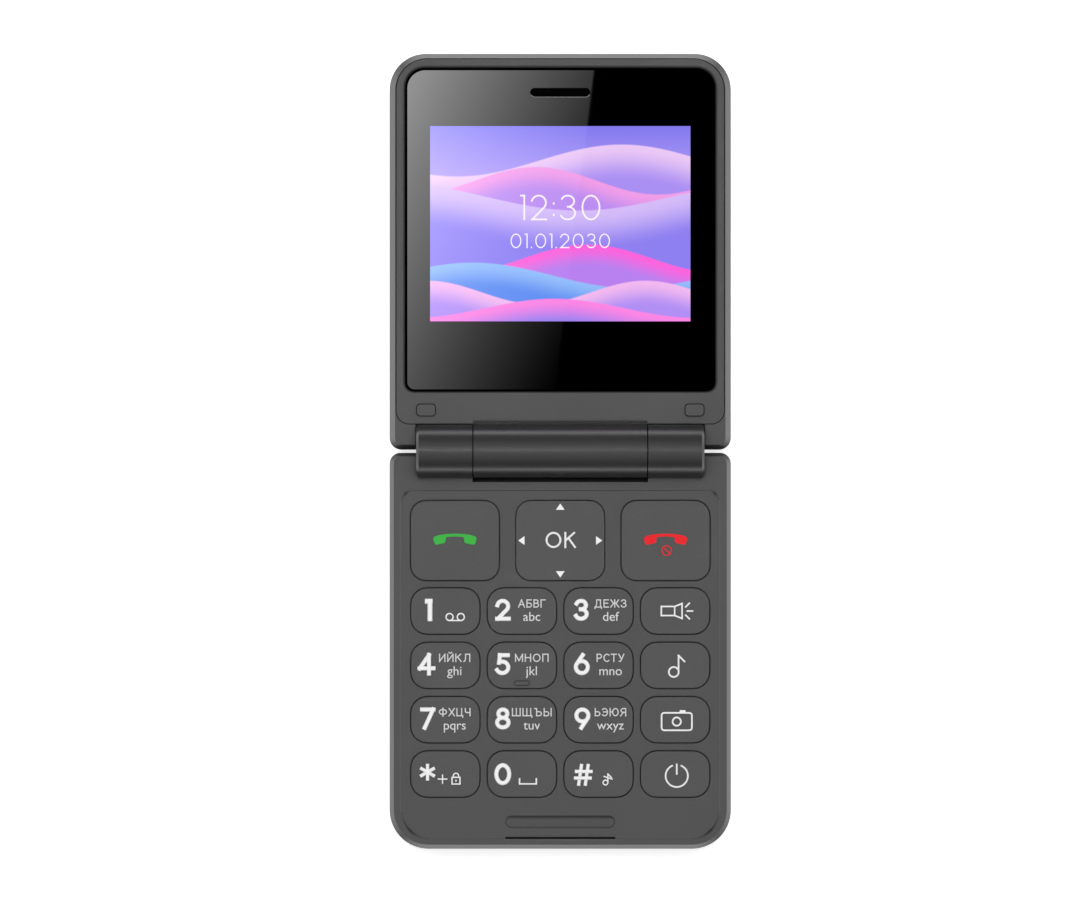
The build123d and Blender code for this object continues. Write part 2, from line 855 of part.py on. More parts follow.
def make_loudspeaker():
    """Ringer speaker on the back wall behind the grille, with a stepped basket."""
    middle = base_back_wall + basket_thickness
    basket = slab(0, pocket_y, speaker_length, speaker_width, base_back_wall, middle)
    return basket + slab(0, pocket_y, cone_length, cone_width, middle, middle + cone_thickness)


def motor_part(radius, x_low, x_high):
    """Cylinder on the vibration motor's axis."""
    start = Plane((x_low, pocket_y, motor_z), x_dir=(0, 1, 0), z_dir=(1, 0, 0))
    return extrude(start * Circle(radius), x_high - x_low)


def make_vibration_motor():
    """Motor can with a flat seat on the back wall and a bearing for its shaft."""
    low = motor_x - motor_length / 2
    high = motor_x + motor_length / 2
    foot_high = base_back_wall + motor_radius / 2
    can = motor_part(motor_radius, low, high)
    can += slab(motor_x, pocket_y, motor_length, 2 * motor_radius, base_back_wall, foot_high)
    return can - motor_part(motor_shaft_radius + running_clearance, motor_x, high)


def make_vibration_weight():
    """Eccentric weight on its shaft, which turns in the motor's bearing."""
    start = motor_x + motor_length / 2 + weight_gap
    weight = motor_part(weight_radius, start, start + weight_length)
    weight -= block(
        start, start + weight_length, pocket_y - weight_radius, pocket_y + weight_radius,
        motor_z + motor_shaft_radius, motor_z + weight_radius,
    )
    return weight + motor_part(motor_shaft_radius, start - motor_shaft_length, start)


def make_microphone():
    """Capsule on the board behind the slit at the phone's end."""
    y = side_wall + board_gap + mic_gap + mic_width / 2 - leaf_length
    return slab(0, y, mic_length, mic_width, board_high, board_high + mic_height)


def make_base_screws():
    """Two screws through the back into the hinge knuckles and two through the bay into the keypad panel."""
    screws = []
    for side in (-1, 1):
        seat = top_screw_sink + screw_head_height
        tip = face_z - plate_thickness - screw_tip_gap
        screws.append(screw(side * top_screw_x, top_screw_y, tip, top_screw_sink, seat, seat))
        low = bay_floor_low - screw_head_height
        tip = plate_low - screw_tip_gap
        screws.append(screw(side * low_screw_x, low_screw_y, tip, low, bay_floor_low, bay_floor_low))
    return Compound(screws)


def make_hinge_shaft():
    """Output shaft of the cartridge, with a square end fast in the right side knuckle."""
    start = centre_end - cartridge_length + cartridge_end + shaft_end_gap
    end = side_start + shaft_insert - seam
    return barrel(shaft_radius, start, side_start) + bar(Rectangle(drive_size, drive_size), side_start, end)


def make_hinge_bush():
    """Hollow bush of the left knuckles, which the display's ribbon would pass through."""
    low = seam - side_start - shaft_insert
    high = bush_insert - centre_end - seam
    return barrel(bush_radius, low, high) - barrel(bush_radius - bush_wall, low, high)


# Keys

def make_key(place, size):
    """Flat key cap on a square flange that the panel holds down, with a nub over its dome."""
    x, y = place
    w, h, r = size
    key = prism(Pos(x, y) * soft_rectangle(w, h, r), flange_high, key_high)
    key += slab(x, y, w + 2 * flange_lip, h + 2 * flange_lip, flange_low, flange_high)
    return key + slab(x, y, nub_size, nub_size, nub_low, flange_low)


def make_key_5():
    """Digit key with the raised ridge, in a sunk ring, that marks the middle of the pad."""
    x, y = small_keys["key_5"]
    ridge_y = y - small_key_height / 2 + ridge_inset + ridge_width / 2
    room = 2 * ridge_ring
    outline = soft_rectangle(ridge_length, ridge_width, ridge_corner)
    ring = soft_rectangle(ridge_length + room, ridge_width + room, ridge_corner + ridge_ring)
    key = make_key((x, y), small_size)
    key -= prism(Pos(x, ridge_y) * ring, key_high - ridge_ring_depth, key_high)
    return key + prism(Pos(x, ridge_y) * outline, flange_high, key_high + ridge_height)


def make_nav_key():
    """Navigation cap, free to rock inside its opening."""
    return prism(Pos(*nav_place) * soft_rectangle(*big_size), nav_cap_low, key_high)


parts = {
    "lid_rear_shell": make_lid_rear_shell(),
    "lid_front_frame": make_lid_front_frame(),
    "hinge_centre_knuckle": make_hinge_centre_knuckle(),
    "hinge_cartridge": make_hinge_cartridge(),
    "display_lens": make_display_lens(),
    "lcd_panel": make_lcd_panel(),
    "lcd_backlight": make_lcd_backlight(),
    "lid_board": make_lid_board(),
    "earpiece": make_earpiece(),
    "earpiece_mesh": make_earpiece_mesh(),
    "lid_bumpers": make_lid_bumpers(),
    "lid_screws": make_lid_screws(),
    "camera_module": make_camera_module(),
    "camera_window": make_camera_window(),
    "torch_lamp": make_torch_lamp(),
    "lid_magnet": make_lid_magnet(),
    "base_front_frame": make_base_front_frame(),
    "base_rear_shell": make_base_rear_shell(),
    "battery_cover": make_battery_cover(),
    "battery": make_battery(),
    "battery_contacts": make_battery_contacts(),
    "sim_sockets": make_sim_sockets(),
    "main_board": make_main_board(),
    "dome_sheet": make_dome_sheet(),
    "keypad_mat": make_keypad_mat(),
    "shield_can": make_shield_can(),
    "usb_socket": make_usb_socket(),
    "loudspeaker": make_loudspeaker(),
    "vibration_motor": make_vibration_motor(),
    "vibration_weight": make_vibration_weight(),
    "microphone": make_microphone(),
    "base_screws": make_base_screws(),
    "hinge_shaft": make_hinge_shaft(),
    "hinge_bush": make_hinge_bush(),
    "nav_nub": slab(0, big_key_y, nav_nub_size, nav_nub_size, nub_low, nav_nub_high),
    "nav_pad": slab(0, big_key_y, nav_pad_width, nav_pad_height, nav_pad_low, nav_pad_high),
    "nav_key": make_nav_key(),
}
for name, place in small_keys.items():
    parts[name] = make_key_5() if name == "key_5" else make_key(place, small_size)
for name, place in big_keys.items():
    parts[name] = make_key(place, big_size)

os.makedirs("parts", exist_ok=True)
for name, part in parts.items():
    export_step(part, f"parts/{name}.step")
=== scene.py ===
"""Clamshell mobile phone, open flat: finishes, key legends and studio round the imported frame."""

import logging
import math
from dataclasses import dataclass, field
from enum import Enum
from typing import Any, Dict, Iterable, List, Optional, Sequence, Tuple

import bpy
from bpy.types import Curve, Material, NodeSocket as Socket, Object
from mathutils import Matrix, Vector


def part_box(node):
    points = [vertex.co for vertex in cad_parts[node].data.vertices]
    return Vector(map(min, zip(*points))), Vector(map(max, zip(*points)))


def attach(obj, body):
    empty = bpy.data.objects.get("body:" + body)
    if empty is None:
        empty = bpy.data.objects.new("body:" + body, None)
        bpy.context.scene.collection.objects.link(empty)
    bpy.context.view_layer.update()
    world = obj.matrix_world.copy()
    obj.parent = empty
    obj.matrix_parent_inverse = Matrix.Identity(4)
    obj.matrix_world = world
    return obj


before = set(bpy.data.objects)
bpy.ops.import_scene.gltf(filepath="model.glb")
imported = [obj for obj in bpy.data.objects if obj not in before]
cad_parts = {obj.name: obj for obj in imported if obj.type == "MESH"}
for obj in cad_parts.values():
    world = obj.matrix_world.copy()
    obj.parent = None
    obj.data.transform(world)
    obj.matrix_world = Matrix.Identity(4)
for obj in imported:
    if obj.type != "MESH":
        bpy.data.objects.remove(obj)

LOG = logging.getLogger("phone")
MM = 0.001
# Most of a noise texture lies between these two values.
NOISE_SPAN = (0.3, 0.7)
# Degrees between neighbouring points of an arc, and the height that glyphs are drawn at.
ARC_STEP = 12
GLYPH_HEIGHT = 100

# A place in a plane, and two other values that belong together.
Point = Tuple[float, float]
Pair = Tuple[float, float]
Triple = Tuple[float, float, float]
Stroke = List[Point]
Colour = Tuple[float, float, float, float]
Bands = Tuple[Tuple[float, str], ...]
Look = Dict[str, Any]


def linear(hex_colour: str) -> Colour:
    """Turns an sRGB hex colour to linear light.

    Args:
        hex_colour: Six hex digits after a hash sign.

    Returns:
        Red, green, blue and an alpha of 1.
    """
    shares = [int(hex_colour[i:i + 2], 16) / 255 for i in (1, 3, 5)]
    red, green, blue = [s / 12.92 if s <= 0.04045 else ((s + 0.055) / 1.055) ** 2.4 for s in shares]
    return red, green, blue, 1.0


BLACK, WHITE = linear("#000000"), linear("#ffffff")


def per_mm(size: float) -> float:
    """Texture scale at which one cell of a pattern is that many millimetres wide."""
    return 1 / (size * MM)


class Recipe:
    """Node tree of one finish while it is made, with the place that its patterns follow."""

    def __init__(self, owner: bpy.types.ID, coordinates: str = "Object") -> None:
        """Empties the tree and starts it with the place.

        Args:
            owner: Material or world that the tree belongs to.
            coordinates: Kind of coordinates that give the place.
        """
        owner.use_nodes = True
        self.tree = owner.node_tree
        self.tree.nodes.clear()
        self.place = self.add("TexCoord", out=coordinates)
        self.axes = self.add("SeparateXYZ", self.place).node.outputs

    def add(self, kind: str, *values: Any, out: Any = 0, **named: Any) -> Any:
        """Adds a node with its settings, input values and links.

        Args:
            kind: Name of the node type, without its first two words, and its operation where it has one.
            *values: Values or feeding sockets of the first inputs in order; None leaves one as it is.
            out: Name or number of the output that is wanted.
            **named: Inputs by their names, with underscores for blanks, or settings, which start with a
                small letter.

        Returns:
            That output socket, or None where the node has no outputs.
        """
        kind, _, operation = kind.partition(" ")
        node = self.tree.nodes.new("ShaderNode" + kind)
        if operation:
            node.operation = operation
        inputs: Dict[Any, Any] = dict(enumerate(values))
        for name, value in named.items():
            if name[0].islower():
                setattr(node, name, value)
            else:
                inputs[name.replace("_", " ")] = value
        for name, value in inputs.items():
            if isinstance(value, Socket):
                self.tree.links.new(value, node.inputs[name])
            elif value is not None:
                node.inputs[name].default_value = value
        return node.outputs[out] if node.outputs else None

    def lay(self, look: Look, share: Socket, coat: Look) -> None:
        """Lays a coat over a look.

        Args:
            look: Values and sockets by the shader's names for them; what the coat names is replaced here.
            share: How much of the coat shows, from 0 to 1.
            coat: Values and sockets of the coat, by the same names.
        """
        for name, value in coat.items():
            # The inputs of a mix that are for colours come some way after those for numbers.
            skipped, out, kind = (5, 2, "RGBA") if name.endswith("Color") else (1, 0, "FLOAT")
            look[name] = self.add("Mix", share, *[None] * skipped, look[name], value, out=out, data_type=kind)

    def within(self, mask: Any, *ranges: Tuple[Socket, float, float]) -> Any:
        """Narrows a mask to where measures lie in their ranges.

        Args:
            mask: Mask so far, or 1 to start with.
            *ranges: Each measure with its lowest and its highest value in millimetres.

        Returns:
            The socket that gives the mask there and 0 elsewhere.
        """
        for measure, low, high in ranges:
            middle, half = (low + high) / 2 * MM, (high - low) / 2 * MM
            inside = self.add("Math COMPARE", measure, middle, half)
            mask = self.add("Math MULTIPLY", mask, inside)
        return mask

    def heading(self, axes: Any) -> Socket:
        """Compares the two level parts of a direction.

        Args:
            axes: Sockets of the direction by the names of the axes.

        Returns:
            The socket that gives 1 along Y, -1 along X and 0 on the diagonals.
        """
        east, north = [self.add("Math POWER", axes[axis], 2.0) for axis in "XY"]
        lead = self.add("Math SUBTRACT", north, east)
        total = self.add("Math ADD", north, east)
        return self.add("Math DIVIDE", lead, total)


@dataclass(frozen=True)
class Coat:
    """Skin of a piece or of a part of it; what is None stays as it is underneath."""

    colour: str
    roughness: Optional[float] = None
    shine: Optional[float] = None
    relief: Optional[float] = None

    def look(self) -> Look:
        """Gathers what the coat changes.

        Returns:
            Values by the shader's names for them, and the strength of the grain as Relief.
        """
        look = {"Base_Color": linear(self.colour), "Roughness": self.roughness,
                "Specular_IOR_Level": self.shine, "Relief": self.relief}
        return {name: value for name, value in look.items() if value is not None}


class Zone(Enum):
    """Part of a moulding with painted shade of its own; the base's face also has its barrel's skin."""

    NONE = 0
    LENS_MOUTH = 1
    BASE_FACE = 2
    RIDGE = 3
    KNUCKLE = 4


@dataclass(frozen=True)
class MouldedPlastic:
    """ABS and polycarbonate blend, moulded in a spark-eroded tool: a fine even grain with a soft sheen.

    The zone gives the lens mouth a painted black shade down its wall, the base's face the smoother, darker
    skin of its hinge barrel and painted shade round the corners of its raised panel and in its thumb groove,
    the middle key painted shade in the ring round its ridge, or the knuckle painted shade on its strip. A
    rimmed moulding has a painted highlight on its bevelled edge along the sides. Every moulding has painted
    shade in its creases, lifted by a painted highlight along the straight feet of the base's raised panel. A
    corner is given by its middle and radius, a foot by its place and shade, a slope by its middle and room;
    places, spans and levels are in millimetres.
    """

    name: str
    colour: str = "#464646"
    roughness: float = 0.42
    shine: float = 0.5
    zone: Zone = Zone.NONE
    rimmed: bool = False
    ior: float = 1.54
    grain_mm: float = 0.35
    grain_height_mm: float = 0.004
    grain_shade: float = 0.05
    cloud_mm: float = 14.0
    cloud_gloss: float = 0.03
    # Painted shade in the creases, found by ambient occlusion within this distance.
    crease_mm: float = 0.5
    crease_open: Pair = (0.45, 0.95)
    crease_shade: float = 0.35
    # Painted highlight: the bevel lighter and shinier along its straight runs.
    rim: Coat = Coat("#585858", 0.34, 1.0)
    rim_slope: Pair = (0.7, 0.12)
    rim_levels: Pair = (9.2, 10.61)
    rim_start_mm: float = 1.5
    # Painted shade, laid round the raised panel's corners and under the thumb groove's upper wall.
    corner: Coat = Coat("#0c0c0c")
    near_corner: Triple = (27.85, -9.2, 1.72)
    far_corner: Triple = (24.65, -67.8, 5.02)
    crescent_half_mm: float = 0.4
    crescent_turn: float = 0.95
    panel_levels: Pair = (10.55, 10.85)
    # Painted highlight along the raised panel's straight feet; each foot's shade lifts the painted crease
    # shade.
    foot_half_mm: float = 0.5
    side_foot: Pair = (29.88, 1.21)
    near_foot: Pair = (-7.25, 1.05)
    far_foot: Pair = (-72.75, 1.1)
    # Painted shadow under the thumb groove's upper wall, fading across its floor.
    groove_levels: Pair = (10.2, 10.79)
    groove_edge_mm: float = -68.53
    groove_half_mm: float = 10.4
    groove_shade_mm: float = 0.75
    barrel: Coat = Coat("#2a2a2a", 0.29, 0.64, 0.15)
    barrel_axis_mm: float = 11.0
    barrel_radius_mm: float = 5.03
    barrel_half_mm: float = 27.1
    # Painted shade on the knuckle's strip: darker, with less shine.
    strip: Coat = Coat("#212121", shine=0.28)
    strip_span: Pair = (4.93, 9.0)
    # Painted shade in the ring round the middle key's ridge.
    ring: Coat = Coat("#121212")
    ring_span: Pair = (10.6, 10.97)
    # Painted shade down the lens mouth's wall: black, with no reflection.
    mouth: Coat = Coat("#020202", shine=0.0)
    mouth_span: Pair = (10.1, 10.55)

    def build(self) -> Material:
        """Makes the material.

        Returns:
            The plastic, with its grain, clouding and zone.
        """
        material = bpy.data.materials.new(self.name)
        recipe = Recipe(material)
        add, place = recipe.add, recipe.place
        # The tool's grain is about 0.1 mm; it is drawn coarser so that it shows at this distance.
        grain = add("TexNoise", place, Scale=per_mm(self.grain_mm), Detail=2.0, Roughness=0.6)
        # Handling leaves the sheen a little uneven, in clouds the width of a fingertip.
        cloud = add("TexNoise", place, Scale=per_mm(self.cloud_mm), Detail=3.0)
        smooth, dull = self.roughness - self.cloud_gloss, self.roughness + self.cloud_gloss
        look = Coat(self.colour, shine=self.shine, relief=1.0).look()
        look["Roughness"] = add("MapRange", cloud, *NOISE_SPAN, smooth, dull)
        for mask, coat in self._coats(recipe):
            recipe.lay(look, mask, coat.look())
        mottle = add("MapRange", grain, *NOISE_SPAN, 1 - self.grain_shade, 1 + self.grain_shade)
        # The grain's random mottle, times the painted crease shade.
        shade = add("Math MULTIPLY", mottle, self._painted_crease_shade(recipe))
        look["Base_Color"] = add("HueSaturation", Color=look["Base_Color"], Value=shade)
        relief = look.pop("Relief")
        look["Normal"] = add("Bump", Height=grain, Distance=self.grain_height_mm * MM, Strength=relief)
        add("OutputMaterial", add("BsdfPrincipled", **look, IOR=self.ior))
        return material

    def _coats(self, recipe: Recipe) -> List[Tuple[Socket, Coat]]:
        """Finds where the moulding has a skin of its own, a painted highlight or painted shade.

        Args:
            recipe: Recipe of the plastic.

        Returns:
            Masks with their coats, the lowest first.
        """
        axes = recipe.axes
        coats = [(self._rim_highlight(recipe), self.rim)] if self.rimmed else []
        if self.zone is Zone.BASE_FACE:
            coats += [(self._painted_corner_shade(recipe), self.corner), (self._painted_groove_shadow(recipe), self.corner),
                      (self._barrel(recipe), self.barrel)]
        elif self.zone is Zone.KNUCKLE:
            coats.append((recipe.within(1.0, (axes["Y"], *self.strip_span)), self.strip))
        elif self.zone is Zone.RIDGE:
            coats.append((recipe.within(1.0, (axes["Z"], *self.ring_span)), self.ring))
        elif self.zone is Zone.LENS_MOUTH:
            low, high = self.mouth_span
            coats.append((recipe.add("MapRange", axes["Z"], low * MM, high * MM, 1.0, 0.0), self.mouth))
        return coats

    def _rim_highlight(self, recipe: Recipe) -> Socket:
        """Mask of the painted highlight on the bevel round the leaf's outer edge, by its slope and its
        height.

        Args:
            recipe: Recipe of the plastic.

        Returns:
            The socket that gives 1 on the straight bevels, fades round their corners and is 0 elsewhere.
        """
        add, axes = recipe.add, recipe.axes
        tilt = add("SeparateXYZ", add("NewGeometry", out="True Normal")).node.outputs
        leaning = add("Math COMPARE", tilt["Z"], *self.rim_slope)
        rim = recipe.within(leaning, (axes["Z"], *self.rim_levels))
        along = add("Math ABSOLUTE", axes["Y"])
        clear = add("Math GREATER_THAN", along, self.rim_start_mm * MM)
        # The painted highlight fades round the corners, where the bevel would mirror the dark between the
        # side lights.
        square = add("Math ABSOLUTE", recipe.heading(tilt))
        for share in (clear, square):
            rim = add("Math MULTIPLY", rim, share)
        return rim

    def _painted_crease_shade(self, recipe: Recipe) -> Socket:
        """Painted shade in the creases, darker where ambient occlusion finds them closed in.

        Args:
            recipe: Recipe of the plastic.

        Returns:
            The socket that gives the shade, lifted along the raised panel's straight feet on the base's face.
        """
        add, axes = recipe.add, recipe.axes
        open_sky = add("AmbientOcclusion", Distance=self.crease_mm * MM, out="AO", samples=6)
        look: Look = {"Shade": add("MapRange", open_sky, *self.crease_open, self.crease_shade, 1.0)}
        if self.zone is not Zone.BASE_FACE:
            return look["Shade"]
        beside = add("Math ABSOLUTE", axes["X"])
        near_x, near_y, _ = self.near_corner
        far_x, far_y, _ = self.far_corner
        # Painted highlight: these feet are lightened where their soft moulding would catch the light from the
        # sides.
        for across, (line, shade), run in (
            (beside, self.side_foot, (axes["Y"], far_y, near_y)),
            (axes["Y"], self.near_foot, (beside, -near_x, near_x)),
            (axes["Y"], self.far_foot, (beside, -far_x, far_x)),
        ):
            off = add("Math SUBTRACT", across, line * MM)
            off = add("Math ABSOLUTE", off)
            foot = add("MapRange", off, 0.0, self.foot_half_mm * MM, 1.0, 0.0,
                       interpolation_type="SMOOTHSTEP")
            foot = recipe.within(foot, (axes["Z"], *self.panel_levels), run)
            recipe.lay(look, foot, {"Shade": shade})
        return look["Shade"]

    def _painted_corner_shade(self, recipe: Recipe) -> Socket:
        """Mask of the painted shade at the steep corners of the raised panel, where the light from the sides
        doesn't reach.

        Args:
            recipe: Recipe of the plastic.

        Returns:
            The socket that gives 1 in the middle of a corner and thins out along it.
        """
        add, axes = recipe.add, recipe.axes
        beside = add("Math ABSOLUTE", axes["X"])
        half = self.crescent_half_mm
        mask: Any = 0.0
        for (x, y, radius), way in ((self.near_corner, 1.0), (self.far_corner, -1.0)):
            # Clamped steps leave the outer quarter of the corner's circle.
            east = add("Math SUBTRACT", beside, x * MM)
            north = add("Math MULTIPLY_ADD", axes["Y"], way, -way * y * MM)
            steps = {axis: add("Math MAXIMUM", step, 0.0)
                     for axis, step in (("X", east), ("Y", north))}
            square = add("Math ABSOLUTE", recipe.heading(steps))
            turn = add("MapRange", square, 0.0, self.crescent_turn, 1.0, 0.0)
            distance = add("VectorMath LENGTH", add("CombineXYZ", **steps), out="Value")
            off = add("Math MULTIPLY_ADD", distance, per_mm(half), -radius / half)
            off = add("Math MULTIPLY", off, off)
            dark = add("Math SUBTRACT", turn, off, use_clamp=True)
            mask = add("Math ADD", mask, dark)
        return recipe.within(mask, (axes["Z"], *self.panel_levels))

    def _painted_groove_shadow(self, recipe: Recipe) -> Socket:
        """Mask of the painted shadow on the thumb groove's floor under its upper wall.

        Args:
            recipe: Recipe of the plastic.

        Returns:
            The socket that gives 1 at the wall and fades across the floor.
        """
        axes, edge = recipe.axes, self.groove_edge_mm
        start = edge - self.groove_shade_mm
        mask = recipe.add("MapRange", axes["Y"], start * MM, edge * MM)
        return recipe.within(
            mask, (axes["X"], -self.groove_half_mm, self.groove_half_mm),
            (axes["Y"], start, edge + self.groove_shade_mm), (axes["Z"], *self.groove_levels),
        )

    def _barrel(self, recipe: Recipe) -> Socket:
        """Mask of the hinge barrel, by the distance from its axis and between its two ends.

        Args:
            recipe: Recipe of the plastic.

        Returns:
            The socket that gives 1 on the barrel and 0 elsewhere.
        """
        axes, half = recipe.axes, self.barrel_half_mm
        above = recipe.add("Math SUBTRACT", axes["Z"], self.barrel_axis_mm * MM)
        across = recipe.add("CombineXYZ", 0.0, axes["Y"], above)
        distance = recipe.add("VectorMath LENGTH", across, out="Value")
        return recipe.within(1.0, (distance, 0.0, self.barrel_radius_mm), (axes["X"], -half, half))


@dataclass(frozen=True)
class PlainFinish:
    """Simple material with a mottled colour: base for rubber, metal, board and other inner finishes.

    The mottle is a noise of the given size that shifts colour and roughness a little.
    """

    name: str
    colour: str
    second: str
    roughness: float
    mottle_mm: float
    metallic: float = 0.0
    bump_mm: float = 0.0
    shine: float = 0.5
    stretch: Triple = (1.0, 1.0, 1.0)
    mottle_gloss: float = 0.05
    smoothest: float = 0.02

    def build(self) -> Material:
        """Makes the material.

        Returns:
            The mottled finish.
        """
        material = bpy.data.materials.new(self.name)
        recipe = Recipe(material)
        add = recipe.add
        place = add("Mapping", recipe.place, Scale=self.stretch)
        mottle = add("TexNoise", place, Scale=per_mm(self.mottle_mm), Detail=3.0)
        smooth = max(self.roughness - self.mottle_gloss, self.smoothest)
        look = Coat(self.colour, shine=self.shine).look()
        look["Metallic"] = self.metallic
        look["Roughness"] = add("MapRange", mottle, *NOISE_SPAN, smooth, self.roughness + self.mottle_gloss)
        recipe.lay(look, mottle, Coat(self.second).look())
        if self.bump_mm:
            look["Normal"] = add("Bump", Height=mottle, Distance=self.bump_mm * MM, Strength=1.0)
        add("OutputMaterial", add("BsdfPrincipled", **look))
        return material


@dataclass(frozen=True)
class RingedLens:
    """Small round lens in the lid's back: clear and polished, with printed or stepped rings."""

    name: str
    middle_mm: Point
    core: str
    bands: Bands
    roughness: float = 0.04
    ior: float = 1.5
    step_mm: float = 0.3
    step_height_mm: float = 0.0

    def build(self) -> Material:
        """Makes the material.

        Returns:
            The lens with its rings; a band starts at its radius and runs outwards.
        """
        material = bpy.data.materials.new(self.name)
        recipe = Recipe(material)
        add, (x, y) = recipe.add, self.middle_mm
        local = add("Mapping", recipe.place, Location=(-x * MM, -y * MM, 0.0), Scale=(1.0, 1.0, 0.0))
        distance = add("VectorMath LENGTH", local, out="Value")
        look = Coat(self.core, self.roughness).look()
        for radius, tint in self.bands:
            beyond = add("Math GREATER_THAN", distance, radius * MM)
            recipe.lay(look, beyond, Coat(tint).look())
        if self.step_height_mm:
            # Saw-tooth steps, as on a flat magnifier.
            step = add("Math FLOORED_MODULO", distance, self.step_mm * MM)
            look["Normal"] = add("Bump", Height=step, Distance=self.step_height_mm / self.step_mm)
        add("OutputMaterial", add("BsdfPrincipled", **look, IOR=self.ior))
        return material


@dataclass(frozen=True)
class Ink:
    """Pad-printed ink under a clear coat: an even, slightly chalky film on the key tops."""

    name: str
    colour: str
    glow: float = 0.0
    speckle_mm: float = 0.3
    gloss: Pair = (0.45, 0.6)
    shine: float = 0.3

    def build(self) -> Material:
        """Makes the material.

        Returns:
            The ink, or the lit figures of a display where it glows.
        """
        material = bpy.data.materials.new(self.name)
        recipe = Recipe(material)
        add, colour = recipe.add, linear(self.colour)
        # The print's speckle is about 0.08 mm; it is drawn coarser so that it shows.
        speckle = add("TexNoise", recipe.place, Scale=per_mm(self.speckle_mm))
        look = {"Base_Color": colour, "Specular_IOR_Level": self.shine}
        if self.glow:
            look = {"Base_Color": BLACK, "Emission_Color": colour, "Emission_Strength": self.glow}
        gloss = add("MapRange", speckle, *NOISE_SPAN, *self.gloss)
        add("OutputMaterial", add("BsdfPrincipled", **look, Roughness=gloss))
        return material


@dataclass(frozen=True)
class Wave:
    """One band of the screen's wallpaper: where its crest runs and how it is coloured, in millimetres."""

    level: float
    swing: float
    length: float
    shift: float
    crest: str
    body: str
    depth: float


@dataclass(frozen=True)
class ScreenLens:
    """Polished acrylic, printed black behind, with a lit window: deep gloss over soft coloured waves."""

    name: str
    width_mm: float
    height_mm: float
    middle_y_mm: float
    roughness: float = 0.012
    ior: float = 1.49
    haze_mm: float = 9.0
    sky_from_mm: float = 6.0
    sky_low: str = "#b9a3f6"
    sky_high: str = "#8279ef"
    edge_mm: float = 0.25
    waves: Tuple[Wave, ...] = (
        Wave(12.0, 3.0, 62.0, 0.4, "#ecc9f6", "#ab90f3", 7.0),
        Wave(8.2, 2.6, 46.0, 2.2, "#f29ee8", "#bb8df0", 5.0),
        Wave(5.2, 2.6, 70.0, 4.4, "#d6bdf9", "#8f80f1", 8.0),
        Wave(-6.4, 2.6, 48.0, 0.9, "#ff62dc", "#b981f0", 4.5),
        Wave(-9.6, 2.4, 60.0, 3.3, "#93bdfb", "#5f8ef1", 5.0),
        Wave(-12.8, 2.2, 41.0, 5.4, "#f4baf0", "#b18ff4", 5.0),
        Wave(-15.8, 1.8, 53.0, 1.7, "#ff86e4", "#9582f2", 5.0),
    )

    def build(self) -> Material:
        """Makes the material.

        Returns:
            The lens with its lit window.
        """
        material = bpy.data.materials.new(self.name)
        recipe = Recipe(material)
        add, axes = recipe.add, recipe.axes
        half_width, half_height = self.width_mm / 2, self.height_mm / 2
        low, high = self.middle_y_mm - half_height, self.middle_y_mm + half_height
        window = recipe.within(1.0, (axes["X"], -half_width, half_width), (axes["Y"], low, high))
        # Wiping haze on the polished sheet, in patches of a few millimetres.
        haze = add("TexNoise", recipe.place, Scale=per_mm(self.haze_mm))
        gloss = add("MapRange", haze, *NOISE_SPAN, self.roughness / 2, self.roughness * 3 / 2)
        look: Look = {"Base_Color": BLACK, "Roughness": gloss, "Emission_Color": BLACK}
        recipe.lay(look, window, self._picture(recipe))
        add("OutputMaterial", add("BsdfPrincipled", **look, IOR=self.ior, Emission_Strength=1.0))
        return material

    def _picture(self, recipe: Recipe) -> Look:
        """Layers the waves in front of the sky, from the far one to the near one.

        Args:
            recipe: Recipe of the lens.

        Returns:
            The glow of the picture, by the shader's name for it.
        """
        add = recipe.add
        local = add("Mapping", recipe.place, Location=(0.0, -self.middle_y_mm, 0.0), Scale=[1 / MM] * 3)
        axes = add("SeparateXYZ", local).node.outputs
        rise = add("MapRange", axes["Y"], self.sky_from_mm, self.height_mm / 2)
        picture: Look = {"Emission_Color": linear(self.sky_low)}
        recipe.lay(picture, rise, {"Emission_Color": linear(self.sky_high)})
        for wave in self.waves:
            angle = add("Math MULTIPLY_ADD", axes["X"], 2 * math.pi / wave.length, wave.shift)
            swing = add("Math SINE", angle)
            crest = add("Math MULTIPLY_ADD", swing, wave.swing, wave.level)
            below = add("Math SUBTRACT", crest, axes["Y"])
            share = add("MapRange", below, 0.0, self.edge_mm)
            fade = add("MapRange", below, 0.0, wave.depth, interpolation_type="SMOOTHSTEP")
            band: Look = {"Emission_Color": linear(wave.crest)}
            recipe.lay(band, fade, {"Emission_Color": linear(wave.body)})
            recipe.lay(picture, share, band)
        return picture


def dress(piece: Object, material: Material) -> None:
    """Gives a piece or node one material all over, and reports it.

    Args:
        piece: The mesh object.
        material: Its finish.
    """
    piece.data.materials.clear()
    piece.data.materials.append(material)
    LOG.info("%s: %d faces, %s", piece.name, len(piece.data.polygons), material.name)


def add_piece(piece: Object, body: str, material: Material) -> None:
    """Dresses a new piece and puts it on the body that it moves with."""
    dress(piece, material)
    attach(piece, body)


def arc(x: float, y: float, radius_x: float, radius_y: float, start: float, end: float) -> Stroke:
    """Points along an arc of an ellipse.

    Args:
        x: Middle of the ellipse, across.
        y: Middle of the ellipse, up.
        radius_x: Half width.
        radius_y: Half height.
        start: First angle in degrees.
        end: Last angle in degrees.

    Returns:
        The points, about ARC_STEP degrees apart.
    """
    steps = max(3, round(abs(end - start) / ARC_STEP))
    angles = [math.radians(start + (end - start) * i / steps) for i in range(steps + 1)]
    return [(x + radius_x * math.cos(a), y + radius_y * math.sin(a)) for a in angles]


